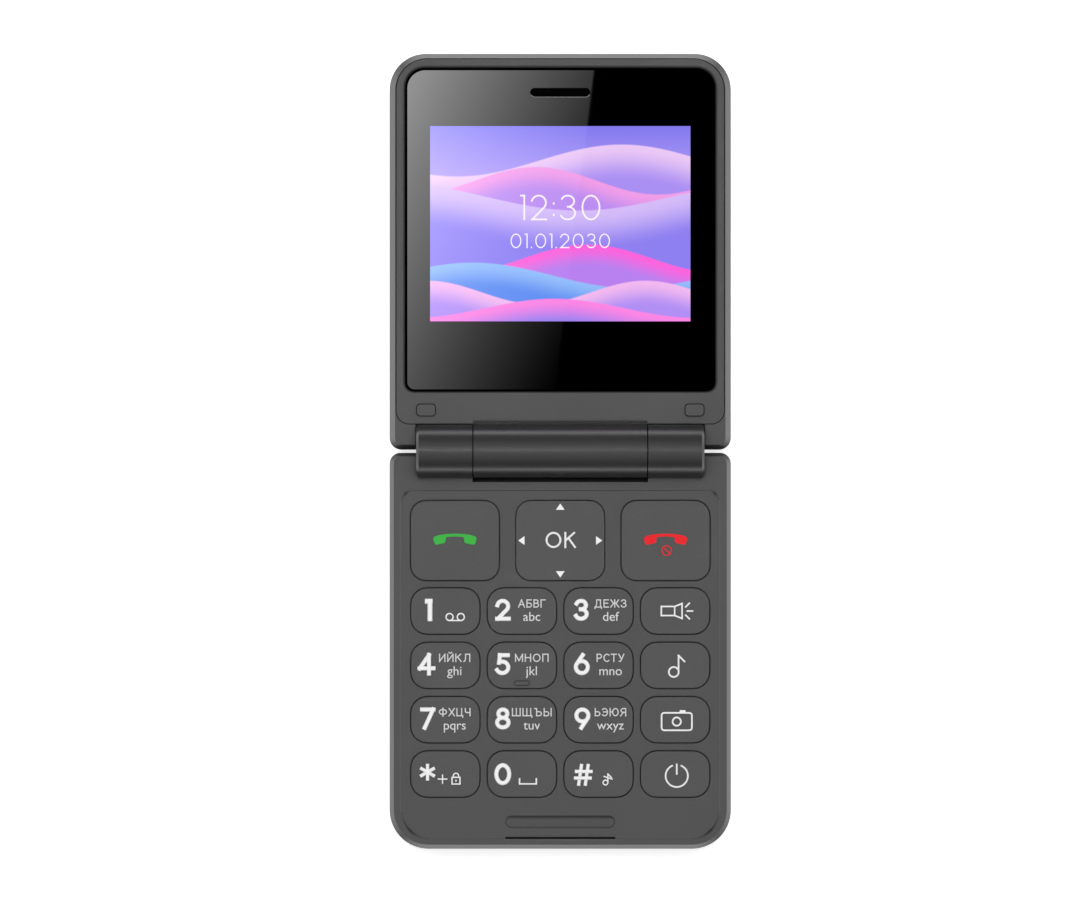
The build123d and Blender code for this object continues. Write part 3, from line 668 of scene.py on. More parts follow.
# Strokes of each figure and letter, on a height of GLYPH_HEIGHT.
GLYPHS: Dict[str, List[Stroke]] = {
    "0": [arc(36, 50, 36, 50, 0, 360)],
    "1": [[(0, 100), (14, 100)], [(14, 100), (14, 0)]],
    "2": [arc(30, 70, 30, 30, 165, -36) + [(5, 2)], [(0, 0), (62, 0)]],
    "3": [arc(26, 76.5, 27, 23.5, 155, -90), arc(26, 26.5, 31, 26.5, 90, -155)],
    "4": [[(50, 100), (0, 27)], [(0, 27), (74, 27)], [(50, 100), (50, 0)]],
    "5": [[(14, 100), (56, 100)], [(14, 100), (9, 60)], arc(27, 32, 33.5, 32, 108, -150)],
    "6": [arc(33.5, 33.5, 33.5, 33.5, 0, 360), [(5.7, 52.2), (38, 100)]],
    "7": [[(0, 100), (60, 100)], [(60, 100), (14, 0)]],
    "8": [arc(33, 77, 25, 23, 0, 360), arc(33, 27, 32, 27, 0, 360)],
    "9": [arc(33.5, 66.5, 33.5, 33.5, 0, 360), [(61.3, 47.8), (29, 0)]],
    ":": [[(5, 18), (5, 20)], [(5, 66), (5, 68)]],
    ".": [[(5, 0), (5, 2)]],
    "А": [[(0, 0), (34, 100), (68, 0)], [(12, 34), (56, 34)]],
    "Б": [[(54, 100), (6, 100), (6, 0), (32, 0)],
          [(6, 56)] + arc(32, 28, 26, 28, 90, -90)],
    "В": [[(32, 0), (6, 0), (6, 100)] + arc(30, 77, 22, 23, 90, -90),
          [(6, 54)] + arc(32, 27, 26, 27, 90, -90)],
    "Г": [[(6, 0), (6, 100), (52, 100)]],
    "Д": [[(0, -18), (0, 0), (74, 0), (74, -18)],
          [(10, 0), (19, 45), (20, 100), (62, 100), (62, 0)]],
    "Е": [[(54, 100), (6, 100), (6, 0), (54, 0)], [(6, 53), (48, 53)]],
    "Ж": [[(46, 0), (46, 100)], [(2, 100), (32, 52), (0, 0)],
          [(90, 100), (60, 52), (92, 0)], [(32, 52), (60, 52)]],
    "З": [arc(26, 76.5, 24, 23.5, 160, -90), arc(26, 26.5, 27, 26.5, 90, -165)],
    "И": [[(6, 100), (6, 0), (60, 100), (60, 0)]],
    "Й": [[(6, 100), (6, 0), (60, 100), (60, 0)], arc(33, 126, 14, 10, 180, 360)],
    "К": [[(6, 0), (6, 100)], [(56, 100), (8, 47)], [(24, 62), (60, 0)]],
    "Л": [[(0, 0), (10, 6), (17, 40), (18, 100), (60, 100), (60, 0)]],
    "М": [[(6, 0), (6, 100), (42, 10), (78, 100), (78, 0)]],
    "Н": [[(6, 0), (6, 100)], [(60, 0), (60, 100)], [(6, 53), (60, 53)]],
    "О": [arc(36, 50, 34, 50, 0, 360)],
    "П": [[(6, 0), (6, 100), (60, 100), (60, 0)]],
    "Р": [[(6, 0), (6, 100)] + arc(32, 72, 25, 28, 90, -90) + [(6, 44)]],
    "С": [arc(36, 50, 34, 50, 48, 312)],
    "Т": [[(0, 100), (60, 100)], [(30, 0), (30, 100)]],
    "У": [[(0, 100), (30, 30)], [(58, 100), (28, 20), (18, 2), (4, 2)]],
    "Ф": [[(42, -6), (42, 106)], arc(42, 53, 40, 34, 0, 360)],
    "Х": [[(0, 100), (58, 0)], [(58, 100), (0, 0)]],
    "Ц": [[(6, 100), (6, 0), (70, 0), (70, -20)], [(58, 100), (58, 0)]],
    "Ч": [[(4, 100)] + arc(26, 64, 22, 20, 180, 270) + [(56, 44)], [(56, 100), (56, 0)]],
    "Ш": [[(6, 100), (6, 0), (86, 0), (86, 100)], [(46, 0), (46, 100)]],
    "Щ": [[(6, 100), (6, 0), (98, 0), (98, -20)], [(46, 0), (46, 100)],
          [(86, 0), (86, 100)]],
    "Ъ": [[(0, 100), (20, 100), (20, 0)] + arc(46, 28, 24, 28, -90, 90) + [(20, 56)]],
    "Ы": [[(6, 100), (6, 0)] + arc(30, 28, 24, 28, -90, 90) + [(6, 56)],
          [(78, 0), (78, 100)]],
    "Ь": [[(6, 100), (6, 0)] + arc(32, 28, 25, 28, -90, 90) + [(6, 56)]],
    "Э": [arc(30, 50, 33, 50, 132, -132), [(20, 53), (62, 53)]],
    "Ю": [[(6, 0), (6, 100)], [(6, 53), (34, 53)], arc(64, 50, 30, 50, 0, 360)],
    "Я": [[(58, 0), (58, 100)] + arc(32, 73, 25, 27, 90, 270) + [(58, 46)],
          [(30, 46), (4, 0)]],
}


def shift(strokes: Iterable[Stroke], x: float, y: float, scale: float = 1.0) -> List[Stroke]:
    """Moves strokes to a place, after scaling them about their origin."""
    return [[(x + scale * px, y + scale * py) for px, py in stroke] for stroke in strokes]


def reach(strokes: Iterable[Stroke]) -> Pair:
    """Lowest and highest place of strokes across."""
    places = [px for stroke in strokes for px, _ in stroke]
    return min(places), max(places)


def write_line(words: str, height: float, width: float, spacing: float) -> List[Stroke]:
    """Strokes of a line of glyphs, with its left edge and its foot at the origin.

    Args:
        words: Characters of the line.
        height: Full height of a capital, in millimetres.
        width: Width of the strokes, in millimetres.
        spacing: Clear space between neighbouring glyphs, in millimetres.

    Returns:
        The centre lines of the strokes, in millimetres.
    """
    strokes: List[Stroke] = []
    scale = (height - width) / GLYPH_HEIGHT
    cursor = 0.0
    for letter in words:
        glyph = GLYPHS[letter]
        low, high = reach(glyph)
        strokes += shift(glyph, cursor + width / 2 - low * scale, width / 2, scale)
        cursor += (high - low) * scale + width + spacing
    return strokes


@dataclass
class InkPen:
    """Lays ink on a level face of a body: lines of even width with square ends, filled outlines and words.

    The level is the height of the face; each print becomes a piece that moves with the body.
    """

    body: str
    ink: Material
    level: float
    film_mm: float = 0.03
    coat_mm: float = 0.004
    coats: int = 8
    sharp_turn: float = 40.0
    closed_mm: float = 1e-6

    def lines(self, name: str, strokes: Sequence[Stroke], width: float) -> None:
        """Draws strokes as flat strips.

        Args:
            name: Name of the new piece.
            strokes: Centre lines in millimetres; one that ends where it starts is a ring.
            width: Width of the strips in millimetres.
        """
        curve = self._curve(name)
        flatten = self.film_mm / width
        runs = [run for stroke in strokes for run in self._split(stroke)]
        for i, run in enumerate(runs):
            ring = math.dist(run[0], run[-1]) < self.closed_mm
            points = run[:-1] if ring else self._square_ends(run, width / 2)
            # Strokes that cross lie on one another like coats, so that no two tops share a level.
            self._spline(curve, points, ring, i % self.coats * self.coat_mm / flatten)
        curve.dimensions = "3D"
        curve.bevel_depth = width / 2 * MM
        curve.bevel_resolution = 1
        curve.use_fill_caps = True
        self._settle(flatten)

    def fill(self, name: str, outlines: Sequence[Stroke]) -> None:
        """Draws closed outlines as filled patches.

        Args:
            name: Name of the new piece.
            outlines: Corners of each patch in order, in millimetres.
        """
        curve = self._curve(name)
        for outline in outlines:
            self._spline(curve, outline, True, 0.0)
        curve.dimensions = "2D"
        curve.fill_mode = "BOTH"
        curve.extrude = self.film_mm / 2 * MM
        self._settle()

    def words(self, name: str, words: str, place: Point, size: float) -> None:
        """Sets a word in the built-in type, centred on a place.

        Args:
            name: Name of the new piece.
            words: Letters to set.
            place: Middle of the word's foot, in millimetres.
            size: Type size in millimetres.
        """
        bpy.ops.object.select_all(action="DESELECT")
        bpy.ops.object.text_add(location=(place[0] * MM, place[1] * MM, 0))
        text = bpy.context.object
        text.name = name
        text.data.body = words
        text.data.align_x = "CENTER"
        text.data.size = size * MM
        text.data.extrude = self.film_mm / 2 * MM
        self._settle()

    @staticmethod
    def _curve(name: str) -> Curve:
        """Adds a curve object and empties it for new splines.

        Args:
            name: Name of the object.

        Returns:
            The empty curve.
        """
        bpy.ops.object.select_all(action="DESELECT")
        bpy.ops.curve.primitive_bezier_curve_add(location=(0, 0, 0))
        bpy.context.object.name = name
        curve = bpy.context.object.data
        curve.splines.clear()
        return curve

    @staticmethod
    def _spline(curve: Curve, points: Sequence[Point], closed: bool, rise: float) -> None:
        """Adds one straight-sided spline.

        Args:
            curve: Curve that takes it.
            points: Its points in order, in millimetres.
            closed: Whether its end joins its start.
            rise: Height of the points in millimetres.
        """
        spline = curve.splines.new("POLY")
        spline.points.add(len(points) - 1)
        for target, (x, y) in zip(spline.points, points):
            target.co = (x * MM, y * MM, rise * MM, 1)
        spline.use_cyclic_u = closed

    def _split(self, stroke: Stroke) -> List[Stroke]:
        """Parts a stroke at its sharp corners, which a bent strip would narrow.

        Args:
            stroke: Points of the stroke.

        Returns:
            Strokes without a sharp corner inside them.
        """
        parts: List[Stroke] = [[stroke[0]]]
        for before, here, after in zip(stroke, stroke[1:], stroke[2:]):
            parts[-1].append(here)
            turn = math.atan2(after[1] - here[1], after[0] - here[0]) - math.atan2(
                here[1] - before[1], here[0] - before[0])
            if abs(math.degrees(math.remainder(turn, 2 * math.pi))) > self.sharp_turn:
                parts.append([here])
        parts[-1].append(stroke[-1])
        return parts

    @staticmethod
    def _square_ends(stroke: Stroke, extra: float) -> Stroke:
        """Lengthens both ends of an open stroke.

        Args:
            stroke: Points of the stroke.
            extra: Length to add at each end.

        Returns:
            The stroke with its ends moved outwards.
        """
        longer = list(stroke)
        for end, inner in ((0, 1), (-1, -2)):
            (x, y), (u, v) = longer[end], longer[inner]
            run = math.hypot(x - u, y - v)
            longer[end] = (x + (x - u) / run * extra, y + (y - v) / run * extra)
        return longer

    def _settle(self, flatten: float = 1.0) -> None:
        """Turns the active curve or text to a mesh film on the face, and adds it to the body.

        Args:
            flatten: Share of its thickness that is kept.
        """
        bpy.ops.object.convert(target="MESH")
        piece = bpy.context.object
        piece.scale = (1, 1, flatten)
        piece.location.z = (self.level + self.film_mm / 2) * MM
        bpy.ops.object.transform_apply(location=True, rotation=True, scale=True)
        add_piece(piece, self.body, self.ink)


def handset() -> Stroke:
    """Outline of a telephone handset seen from the side, arched upwards.

    Returns:
        The corners in order, in millimetres.
    """
    right = [(0.0, 0.98), (1.6, 0.92), (2.9, 0.74), (3.7, 0.5), (4.02, 0.24), (4.08, -0.1), (3.82, -0.88),
             (3.62, -1.08), (3.35, -1.08), (2.05, -0.8), (1.8, -0.62), (1.68, 0.2), (1.5, 0.36), (0.0, 0.46)]
    return right + [(-x, y) for x, y in reversed(right[1:-1])]


def arrows() -> List[Stroke]:
    """Outlines of the four arrows of the navigation key, each pointing outwards.

    Returns:
        The corners of each arrow, in millimetres from the key's middle.
    """
    tip = [(0.0, 0.6), (-0.83, -0.58), (0.83, -0.58)]
    outlines = []
    for turn, (x, y) in enumerate([(0, 6.35), (-7.3, 0), (0, -6.35), (7.3, 0)]):
        cos, sin = math.cos(turn * math.pi / 2), math.sin(turn * math.pi / 2)
        outlines.append([(x + u * cos - v * sin, y + u * sin + v * cos) for u, v in tip])
    return outlines


def box_outline(x: float, y: float, width: float, height: float, radius: float = 0.0) -> Stroke:
    """Outline of a rectangle with round or sharp corners, ending where it starts.

    Args:
        x: Middle, across.
        y: Middle, up.
        width: Full width.
        height: Full height.
        radius: Radius of the corners; 0 leaves them sharp.

    Returns:
        The points in order.
    """
    outline: Stroke = []
    for turn, (side_x, side_y) in enumerate(((1, 1), (-1, 1), (-1, -1), (1, -1))):
        corner = (x + side_x * (width / 2 - radius), y + side_y * (height / 2 - radius))
        outline += arc(*corner, radius, radius, 90 * turn, 90 * turn + 90) if radius else [corner]
    return outline + outline[:1]


class InkTone(Enum):
    """Ink of a legend, by the name and the colour of its material."""

    WHITE = ("legend_ink_white", "#f4f4f4")
    FINE = ("legend_ink_fine", "#dadada")
    GREEN = ("legend_ink_green", "#3eb144")
    RED = ("legend_ink_red", "#e8232a")


@dataclass
class KeyLegend:
    """What is printed on one key, in millimetres from the middle of its top."""

    figure: str = ""
    figure_left: float = 0.0
    capitals: str = ""
    capitals_width: float = 0.0
    letters: str = ""
    figure_width: float = 0.86
    bold: List[Stroke] = field(default_factory=list)
    lines: List[Stroke] = field(default_factory=list)
    line_width: float = 0.3
    line_name: str = "sign"
    patches: List[Stroke] = field(default_factory=list)
    patch_name: str = "patch"
    tone: InkTone = InkTone.WHITE


@dataclass
class Keypad:
    """Keys of the base: their plastic and the legends printed on them."""

    key_colour: str = "#484848"
    key_roughness: float = 0.4
    figure_height: float = 4.22
    figure_foot: float = -1.9
    low_row_foot: float = -2.15
    capital_height: float = 1.58
    capital_width: float = 0.23
    capital_foot: float = 0.63
    capital_spacing: float = 0.16
    letter_size: float = 2.45
    letter_foot: float = -1.84
    letter_middle: Triple = (1.75, 1.85, 2.24)
    inks: Dict[InkTone, Material] = field(default_factory=dict)

    def build(self) -> None:
        """Dresses the keys and prints their legends."""
        self.inks = {tone: Ink(*tone.value).build() for tone in InkTone}
        skin = (self.key_colour, self.key_roughness)
        plastic = MouldedPlastic("key_abs_moulded", *skin).build()
        # The middle key's plastic has painted shade in the ring round its ridge.
        ridged = MouldedPlastic("key_abs_ridged", *skin, zone=Zone.RIDGE).build()
        for name, legend in {**self.digit_legends(), **self.sign_legends()}.items():
            dress(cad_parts[name], ridged if name == "key_5" else plastic)
            self.print_legend(name, legend)

    @staticmethod
    def digit_legends() -> Dict[str, KeyLegend]:
        """Legends of the keys with figures, and of the star and hash keys.

        Returns:
            Key name to its legend.
        """
        groups = [("2", -5.05, "АБВГ", 5.2, "abc"), ("3", -4.65, "ДЕЖЗ", 6.05, "def"),
                  ("4", -5.2, "ИЙКЛ", 5.9, "ghi"), ("5", -5.1, "МНОП", 6.35, "jkl"),
                  ("6", -4.7, "РСТУ", 5.25, "mno"), ("7", -4.75, "ФХЦЧ", 6.0, "pqrs"),
                  ("8", -5.1, "ШЩЪЫ", 7.5, "tuv"), ("9", -4.6, "ЬЭЮЯ", 5.95, "wxyz")]
        legends = {f"key_{group[0]}": KeyLegend(*group) for group in groups}
        tape = [arc(x, -1.13, 0.66, 0.66, 0, 360) for x in (0.79, 2.9)] + [[(0.79, -1.79), (2.9, -1.79)]]
        legends["key_1"] = KeyLegend("1", -3.85, figure_width=1.0, lines=tape, line_width=0.27)
        arms = [(1.25 * math.cos(math.radians(a)), 1.25 * math.sin(math.radians(a))) for a in (30, 90, 150)]
        star = shift([[(-u, -v), (u, v)] for u, v in arms], -3.36, 0.35)
        shackle = [(1.5, -0.62)] + arc(2.0, -0.35, 0.5, 0.5, 180, 0) + [(2.5, -0.62)]
        lock = [box_outline(2.0, -1.25, 1.5, 1.25), shackle, [(2.0, -1.2), (2.0, -1.3)]]
        plus = [[(-1.3, -0.95), (0.25, -0.95)], [(-0.53, -1.72), (-0.53, -0.18)]]
        legends["key_star"] = KeyLegend(bold=star, figure_width=0.66, lines=lock + plus, line_width=0.26)
        space = [[(-0.45, -0.9), (-0.45, -1.85)], [(-0.45, -1.85), (2.7, -1.85)], [(2.7, -1.85), (2.7, -0.9)]]
        legends["key_0"] = KeyLegend("0", -5.25, lines=space)
        bars = shift([[(-0.85, -1.72), (-0.35, 1.72)], [(0.4, -1.72), (0.9, 1.72)],
                      [(-1.25, 0.62), (1.42, 0.62)], [(-1.42, -0.62), (1.25, -0.62)]], -2.87, -0.15)
        crossed = [arc(1.3, -1.6, 0.45, 0.45, 0, 360), [(1.75, -1.6), (1.75, 0.0)],
                   [(1.75, 0.0), (2.4, -0.65)], [(1.05, -0.45), (2.55, -0.95)]]
        legends["key_hash"] = KeyLegend(bold=bars, figure_width=0.68, lines=crossed, line_width=0.25)
        return legends

    @staticmethod
    def sign_legends() -> Dict[str, KeyLegend]:
        """Legends of the call keys, the navigation key and the four keys at the side.

        Returns:
            Key name to its legend.
        """
        torch = [[(-2.6, 0.85), (-2.6, -0.85)], [(-2.6, 0.85), (-0.1, 0.85)], [(-2.6, -0.85), (-0.1, -0.85)],
                 [(-0.1, 0.85), (-0.1, -0.85)], [(-0.1, 0.85), (1.3, 1.4)], [(-0.1, -0.85), (1.3, -1.4)],
                 [(1.3, 1.4), (1.3, -1.4)], [(2.0, 0.8), (2.65, 1.45)], [(2.3, 0.0), (3.25, 0.0)],
                 [(2.0, -0.8), (2.65, -1.45)]]
        note = [arc(-0.26, -1.25, 0.93, 0.93, 0, 360), [(0.64, -1.25), (0.64, 1.85)],
                [(0.64, 1.85), (1.75, 0.75)]]
        case = [box_outline(0.3, -0.36, 5.7, 3.28, 0.5), arc(0.3, -0.36, 0.78, 0.78, 0, 360)]
        knob = [box_outline(1.4, 1.5, 1.1, 0.6)[:-1]]
        power = [arc(0.3, -0.35, 2.1, 2.1, 115, 425), [(0.3, 1.8), (0.3, 0.05)]]
        phone = shift([handset()], 0.0, 0.3)
        barred = shift([arc(0, 0, 0.9, 0.9, 0, 360), [(-0.5, 0.5), (0.5, -0.5)]], 0.2, -1.9)
        letters = [arc(-1.27, 0.1, 1.3, 1.33, 0, 360), [(0.95, -1.23), (0.95, 1.43)],
                   [(2.6, 1.43), (1.0, 0.0)], [(1.55, 0.45), (2.75, -1.23)]]
        return {
            "torch_key": KeyLegend(lines=torch, line_width=0.32),
            "music_key": KeyLegend(lines=note, line_width=0.34),
            "camera_key": KeyLegend(lines=case, line_width=0.34, patches=knob),
            "power_key": KeyLegend(lines=power, line_width=0.34),
            "send_key": KeyLegend(patches=phone, patch_name="handset", tone=InkTone.GREEN),
            "end_key": KeyLegend(lines=barred, line_width=0.22, line_name="barred", patches=phone,
                                 patch_name="handset", tone=InkTone.RED),
            "nav_key": KeyLegend(lines=letters, line_width=0.4, line_name="letters", patches=arrows(),
                                 patch_name="arrows"),
        }

    @staticmethod
    def middle(node: str) -> Triple:
        """Finds the middle of a key's flat top.

        Args:
            node: Name of the key.

        Returns:
            Its place and its height, in millimetres.
        """
        low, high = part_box(node)
        # The ridge of the middle key stands above its flat top, so another key gives the height.
        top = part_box("nav_key" if node == "key_5" else node)[1].z / MM
        return (low.x + high.x) / 2 / MM, (low.y + high.y) / 2 / MM, top

    def print_legend(self, name: str, legend: KeyLegend) -> None:
        """Prints one key.

        Args:
            name: Node and body of the key.
            legend: What it carries.
        """
        x, y, level = self.middle(name)
        pen, fine = [InkPen(name, self.inks[tone], level) for tone in (legend.tone, InkTone.FINE)]
        bold = shift(legend.bold, x, y)
        if legend.figure:
            foot = self.low_row_foot if legend.figure == "0" else self.figure_foot
            figure = write_line(legend.figure, self.figure_height, legend.figure_width, 0.0)
            bold += shift(figure, x + legend.figure_left, y + foot)
        if bold:
            pen.lines(f"{name}_figure", bold, legend.figure_width)
        if legend.capitals:
            middle = x + self.letter_middle[(int(legend.figure) - 1) % len(self.letter_middle)]
            width = self.capital_width
            strokes = write_line(legend.capitals, self.capital_height, width, self.capital_spacing)
            low, high = reach(strokes)
            stretch = (legend.capitals_width - width) / (high - low)
            strokes = [[((px - (low + high) / 2) * stretch, py) for px, py in stroke] for stroke in strokes]
            fine.lines(f"{name}_capitals", shift(strokes, middle, y + self.capital_foot), width)
            fine.words(f"{name}_letters", legend.letters, (middle, y + self.letter_foot), self.letter_size)
        if legend.lines:
            pen.lines(f"{name}_{legend.line_name}", shift(legend.lines, x, y), legend.line_width)
        if legend.patches:
            pen.fill(f"{name}_{legend.patch_name}", shift(legend.patches, x, y))


@dataclass
class Lid:
    """Display half: shell, frame, lens with its lit window, earpiece, screw covers and camera."""

    window_width: float = 48.96
    window_height: float = 36.72
    window_middle: float = 42.8
    lip_width: float = 0.19
    lip_turn: float = 55.0
    gap_width: float = 0.16
    gap_corner: float = 0.65
    gap_sink: float = 0.02
    bumper_size: Pair = (3.4, 2.1)
    clock: str = "12:30"
    clock_height: float = 4.8
    clock_width: float = 0.32
    clock_foot: float = 0.65
    date: str = "01.01.2030"
    date_height: float = 2.75
    date_width: float = 0.22
    date_foot: float = -4.6
    figure_spacing: float = 0.22
    ring_width: float = 0.5
    ring_proud: float = 0.3
    glass_bands: Bands = (
        (0.55, "#141a33"), (0.95, "#0a0b12"), (1.25, "#2b2d30"), (1.4, "#0b0b0c"), (2.0, "#343638"),
        (2.12, "#050505"),
    )
    torch_bands: Bands = ((0.55, "#e6e3d6"), (1.35, "#c9c8c2"))

    def build(self) -> None:
        """Dresses the lid's nodes and adds the screen's figures and the camera ring."""
        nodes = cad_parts
        # The shell's bevel carries a painted highlight.
        dress(nodes["lid_rear_shell"], MouldedPlastic("lid_abs_moulded", rimmed=True).build())
        # The frame has painted black shade down the lens mouth's wall.
        dress(nodes["lid_front_frame"], MouldedPlastic("lid_frame_abs", zone=Zone.LENS_MOUTH).build())
        lens = ScreenLens("lens_acrylic_printed", self.window_width, self.window_height, self.window_middle)
        dress(nodes["display_lens"], lens.build())
        # Woven cloth, dyed black: a dull, toothed dark in the slot.
        mesh = PlainFinish("earpiece_cloth_mesh", "#010101", "#040404", 0.9, 0.25, bump_mm=0.05, shine=0.05)
        dress(nodes["earpiece_mesh"], mesh.build())
        # Moulded thermoplastic rubber: the case's grey, a little duller.
        dress(nodes["lid_bumpers"], MouldedPlastic("bumper_tpu", "#484848", roughness=0.46).build())
        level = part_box("display_lens")[1].z / MM
        self.write_screen(level)
        self.paint_lip_highlight(level)
        self.paint_bumper_gap_shadows()
        self.dress_camera()

    def write_screen(self, level: float) -> None:
        """Adds the clock and the date, lit by the display.

        Args:
            level: Height of the lens's face in millimetres.
        """
        pen = InkPen("lid", Ink("screen_figures_lit", "#fbf3fd", glow=1.0).build(), level)
        for name, words, height, width, foot in (
            ("screen_clock", self.clock, self.clock_height, self.clock_width, self.clock_foot),
            ("screen_date", self.date, self.date_height, self.date_width, self.date_foot),
        ):
            strokes = write_line(words, height, width, height * self.figure_spacing)
            low, high = reach(strokes)
            pen.lines(name, shift(strokes, -(low + high) / 2, self.window_middle + foot), width)

    def paint_lip_highlight(self, level: float) -> None:
        """Adds a painted highlight along the lower lip of the earpiece slot.

        Args:
            level: Height of the lens's face in millimetres.
        """
        low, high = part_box("earpiece_mesh")
        half = (high.y - low.y) / 2 / MM + self.lip_width / 2
        left, right, middle = low.x / MM + half, high.x / MM - half, (low.y + high.y) / 2 / MM
        lip = arc(left, middle, half, half, 270 - self.lip_turn, 270)
        lip += arc(right, middle, half, half, 270, 270 + self.lip_turn)
        # Painted highlight: a thin grey line for the glint on the acrylic's cut edge, which is polished.
        polished = PlainFinish("lip_painted_highlight", "#666666", "#6e6e6e", 0.5, 0.5).build()
        InkPen("lid", polished, level).lines("earpiece_lip_highlight", [lip], self.lip_width)

    def paint_bumper_gap_shadows(self) -> None:
        """Adds a painted shadow line in the gap round each screw cover."""
        low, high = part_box("lid_bumpers")
        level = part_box("lid_front_frame")[1].z / MM
        width, height = self.bumper_size
        place_x, place_y = high.x / MM - width / 2, (low.y + high.y) / 2 / MM
        # Painted shadow: nearly black, with no glint.
        dark = PlainFinish("gap_painted_shadow", "#0a0a0a", "#141414", 0.8, 0.4, shine=0.1).build()
        grown = (width + self.gap_width, height + self.gap_width, self.gap_corner)
        outlines = [box_outline(side * place_x, place_y, *grown) for side in (-1, 1)]
        InkPen("lid", dark, level - self.gap_sink).lines("bumper_gap_shadows", outlines, self.gap_width)

    def dress_camera(self) -> None:
        """Dresses the window and lamp in the lid's back and adds the ring round the window."""
        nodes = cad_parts
        low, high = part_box("torch_lamp")
        middle = (low + high) / 2
        # Clear lens with stepped rings: pale, with the yellow of the lamp in its middle.
        lamp = RingedLens("torch_lens_clear", (middle.x / MM, middle.y / MM), "#f2df86", self.torch_bands,
                          roughness=0.12, step_height_mm=0.12)
        dress(nodes["torch_lamp"], lamp.build())
        low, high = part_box("camera_window")
        middle = (low + high) / 2
        # Glass printed from behind: dark rings that step down to the black eye of the camera.
        glass = RingedLens("camera_glass_printed", (middle.x / MM, middle.y / MM), "#020203",
                           self.glass_bands)
        dress(nodes["camera_window"], glass.build())
        radius = (high.x - low.x) / 2
        half = self.ring_width * MM / 2
        bpy.ops.object.select_all(action="DESELECT")
        bpy.ops.mesh.primitive_torus_add(
            major_segments=64, minor_segments=12, major_radius=radius + half, minor_radius=half,
            location=(middle.x, middle.y, low.z),
        )
        ring = bpy.context.object
        ring.name = "camera_ring"
        ring.scale.z = self.ring_proud * MM / half
        bpy.ops.object.transform_apply(location=True, rotation=True, scale=True)
        # The half that would lie in the case is cut away.
        bpy.ops.object.mode_set(mode="EDIT")
        bpy.ops.mesh.select_all(action="SELECT")
        bpy.ops.mesh.bisect(
            plane_co=(middle.x, middle.y, low.z), plane_no=(0, 0, 1), use_fill=True, clear_outer=True
        )
        bpy.ops.object.mode_set(mode="OBJECT")
        # Stainless steel, turned and brushed: a bright, slightly streaked trim.
        steel = PlainFinish("ring_steel_brushed", "#8d8d8f", "#a3a3a6", 0.3, 0.4, metallic=1.0)
        add_piece(ring, "lid", steel.build())


@dataclass
class Base:
    """Keypad half: front frame with the barrel, centre knuckle, rear shell, battery cover and painted shade
    of screw slots.
    """

    knuckle_grain_mm: float = 0.0006
    screw_x: float = 21.775
    screw_y: float = -3.6
    screw_face: float = 1.4
    slot_length: float = 1.3
    slot_width: float = 0.3

    def build(self) -> None:
        """Dresses the outer nodes of the base and the hinge, and adds the painted shade of the screw slots.
        """
        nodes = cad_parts
        # Painted highlight on its bevel and panel feet; painted shade at the panel's corners, in its groove
        # and creases.
        front = MouldedPlastic("base_abs_moulded", zone=Zone.BASE_FACE, rimmed=True)
        dress(nodes["base_front_frame"], front.build())
        skin = front.barrel
        # The knuckle has painted shade on its strip.
        knuckle = MouldedPlastic("knuckle_abs", skin.colour, skin.roughness, skin.shine, Zone.KNUCKLE,
                                 grain_height_mm=self.knuckle_grain_mm)
        dress(nodes["hinge_centre_knuckle"], knuckle.build())
        back = MouldedPlastic("back_abs_moulded").build()
        for name in ("base_rear_shell", "battery_cover"):
            dress(nodes[name], back)
        self.paint_slot_shade_on_screws()

    def paint_slot_shade_on_screws(self) -> None:
        """Adds a dark cross of painted shade for the slot in each screw head that shows in the back."""
        # Painted shade of the slot: a dark cross of steel with a faint glint.
        dark = PlainFinish("slot_painted_shade", "#0c0c0c", "#161616", 0.6, 0.3, metallic=0.4).build()
        half = self.slot_length / 2
        cross = [[(-half, 0.0), (half, 0.0)], [(0.0, -half), (0.0, half)]]
        pen = InkPen("base", dark, self.screw_face - InkPen.film_mm)
        for side, name in ((-1, "left"), (1, "right")):
            strokes = shift(cross, side * self.screw_x, self.screw_y)
            pen.lines(f"screw_cross_shade_{name}", strokes, self.slot_width)


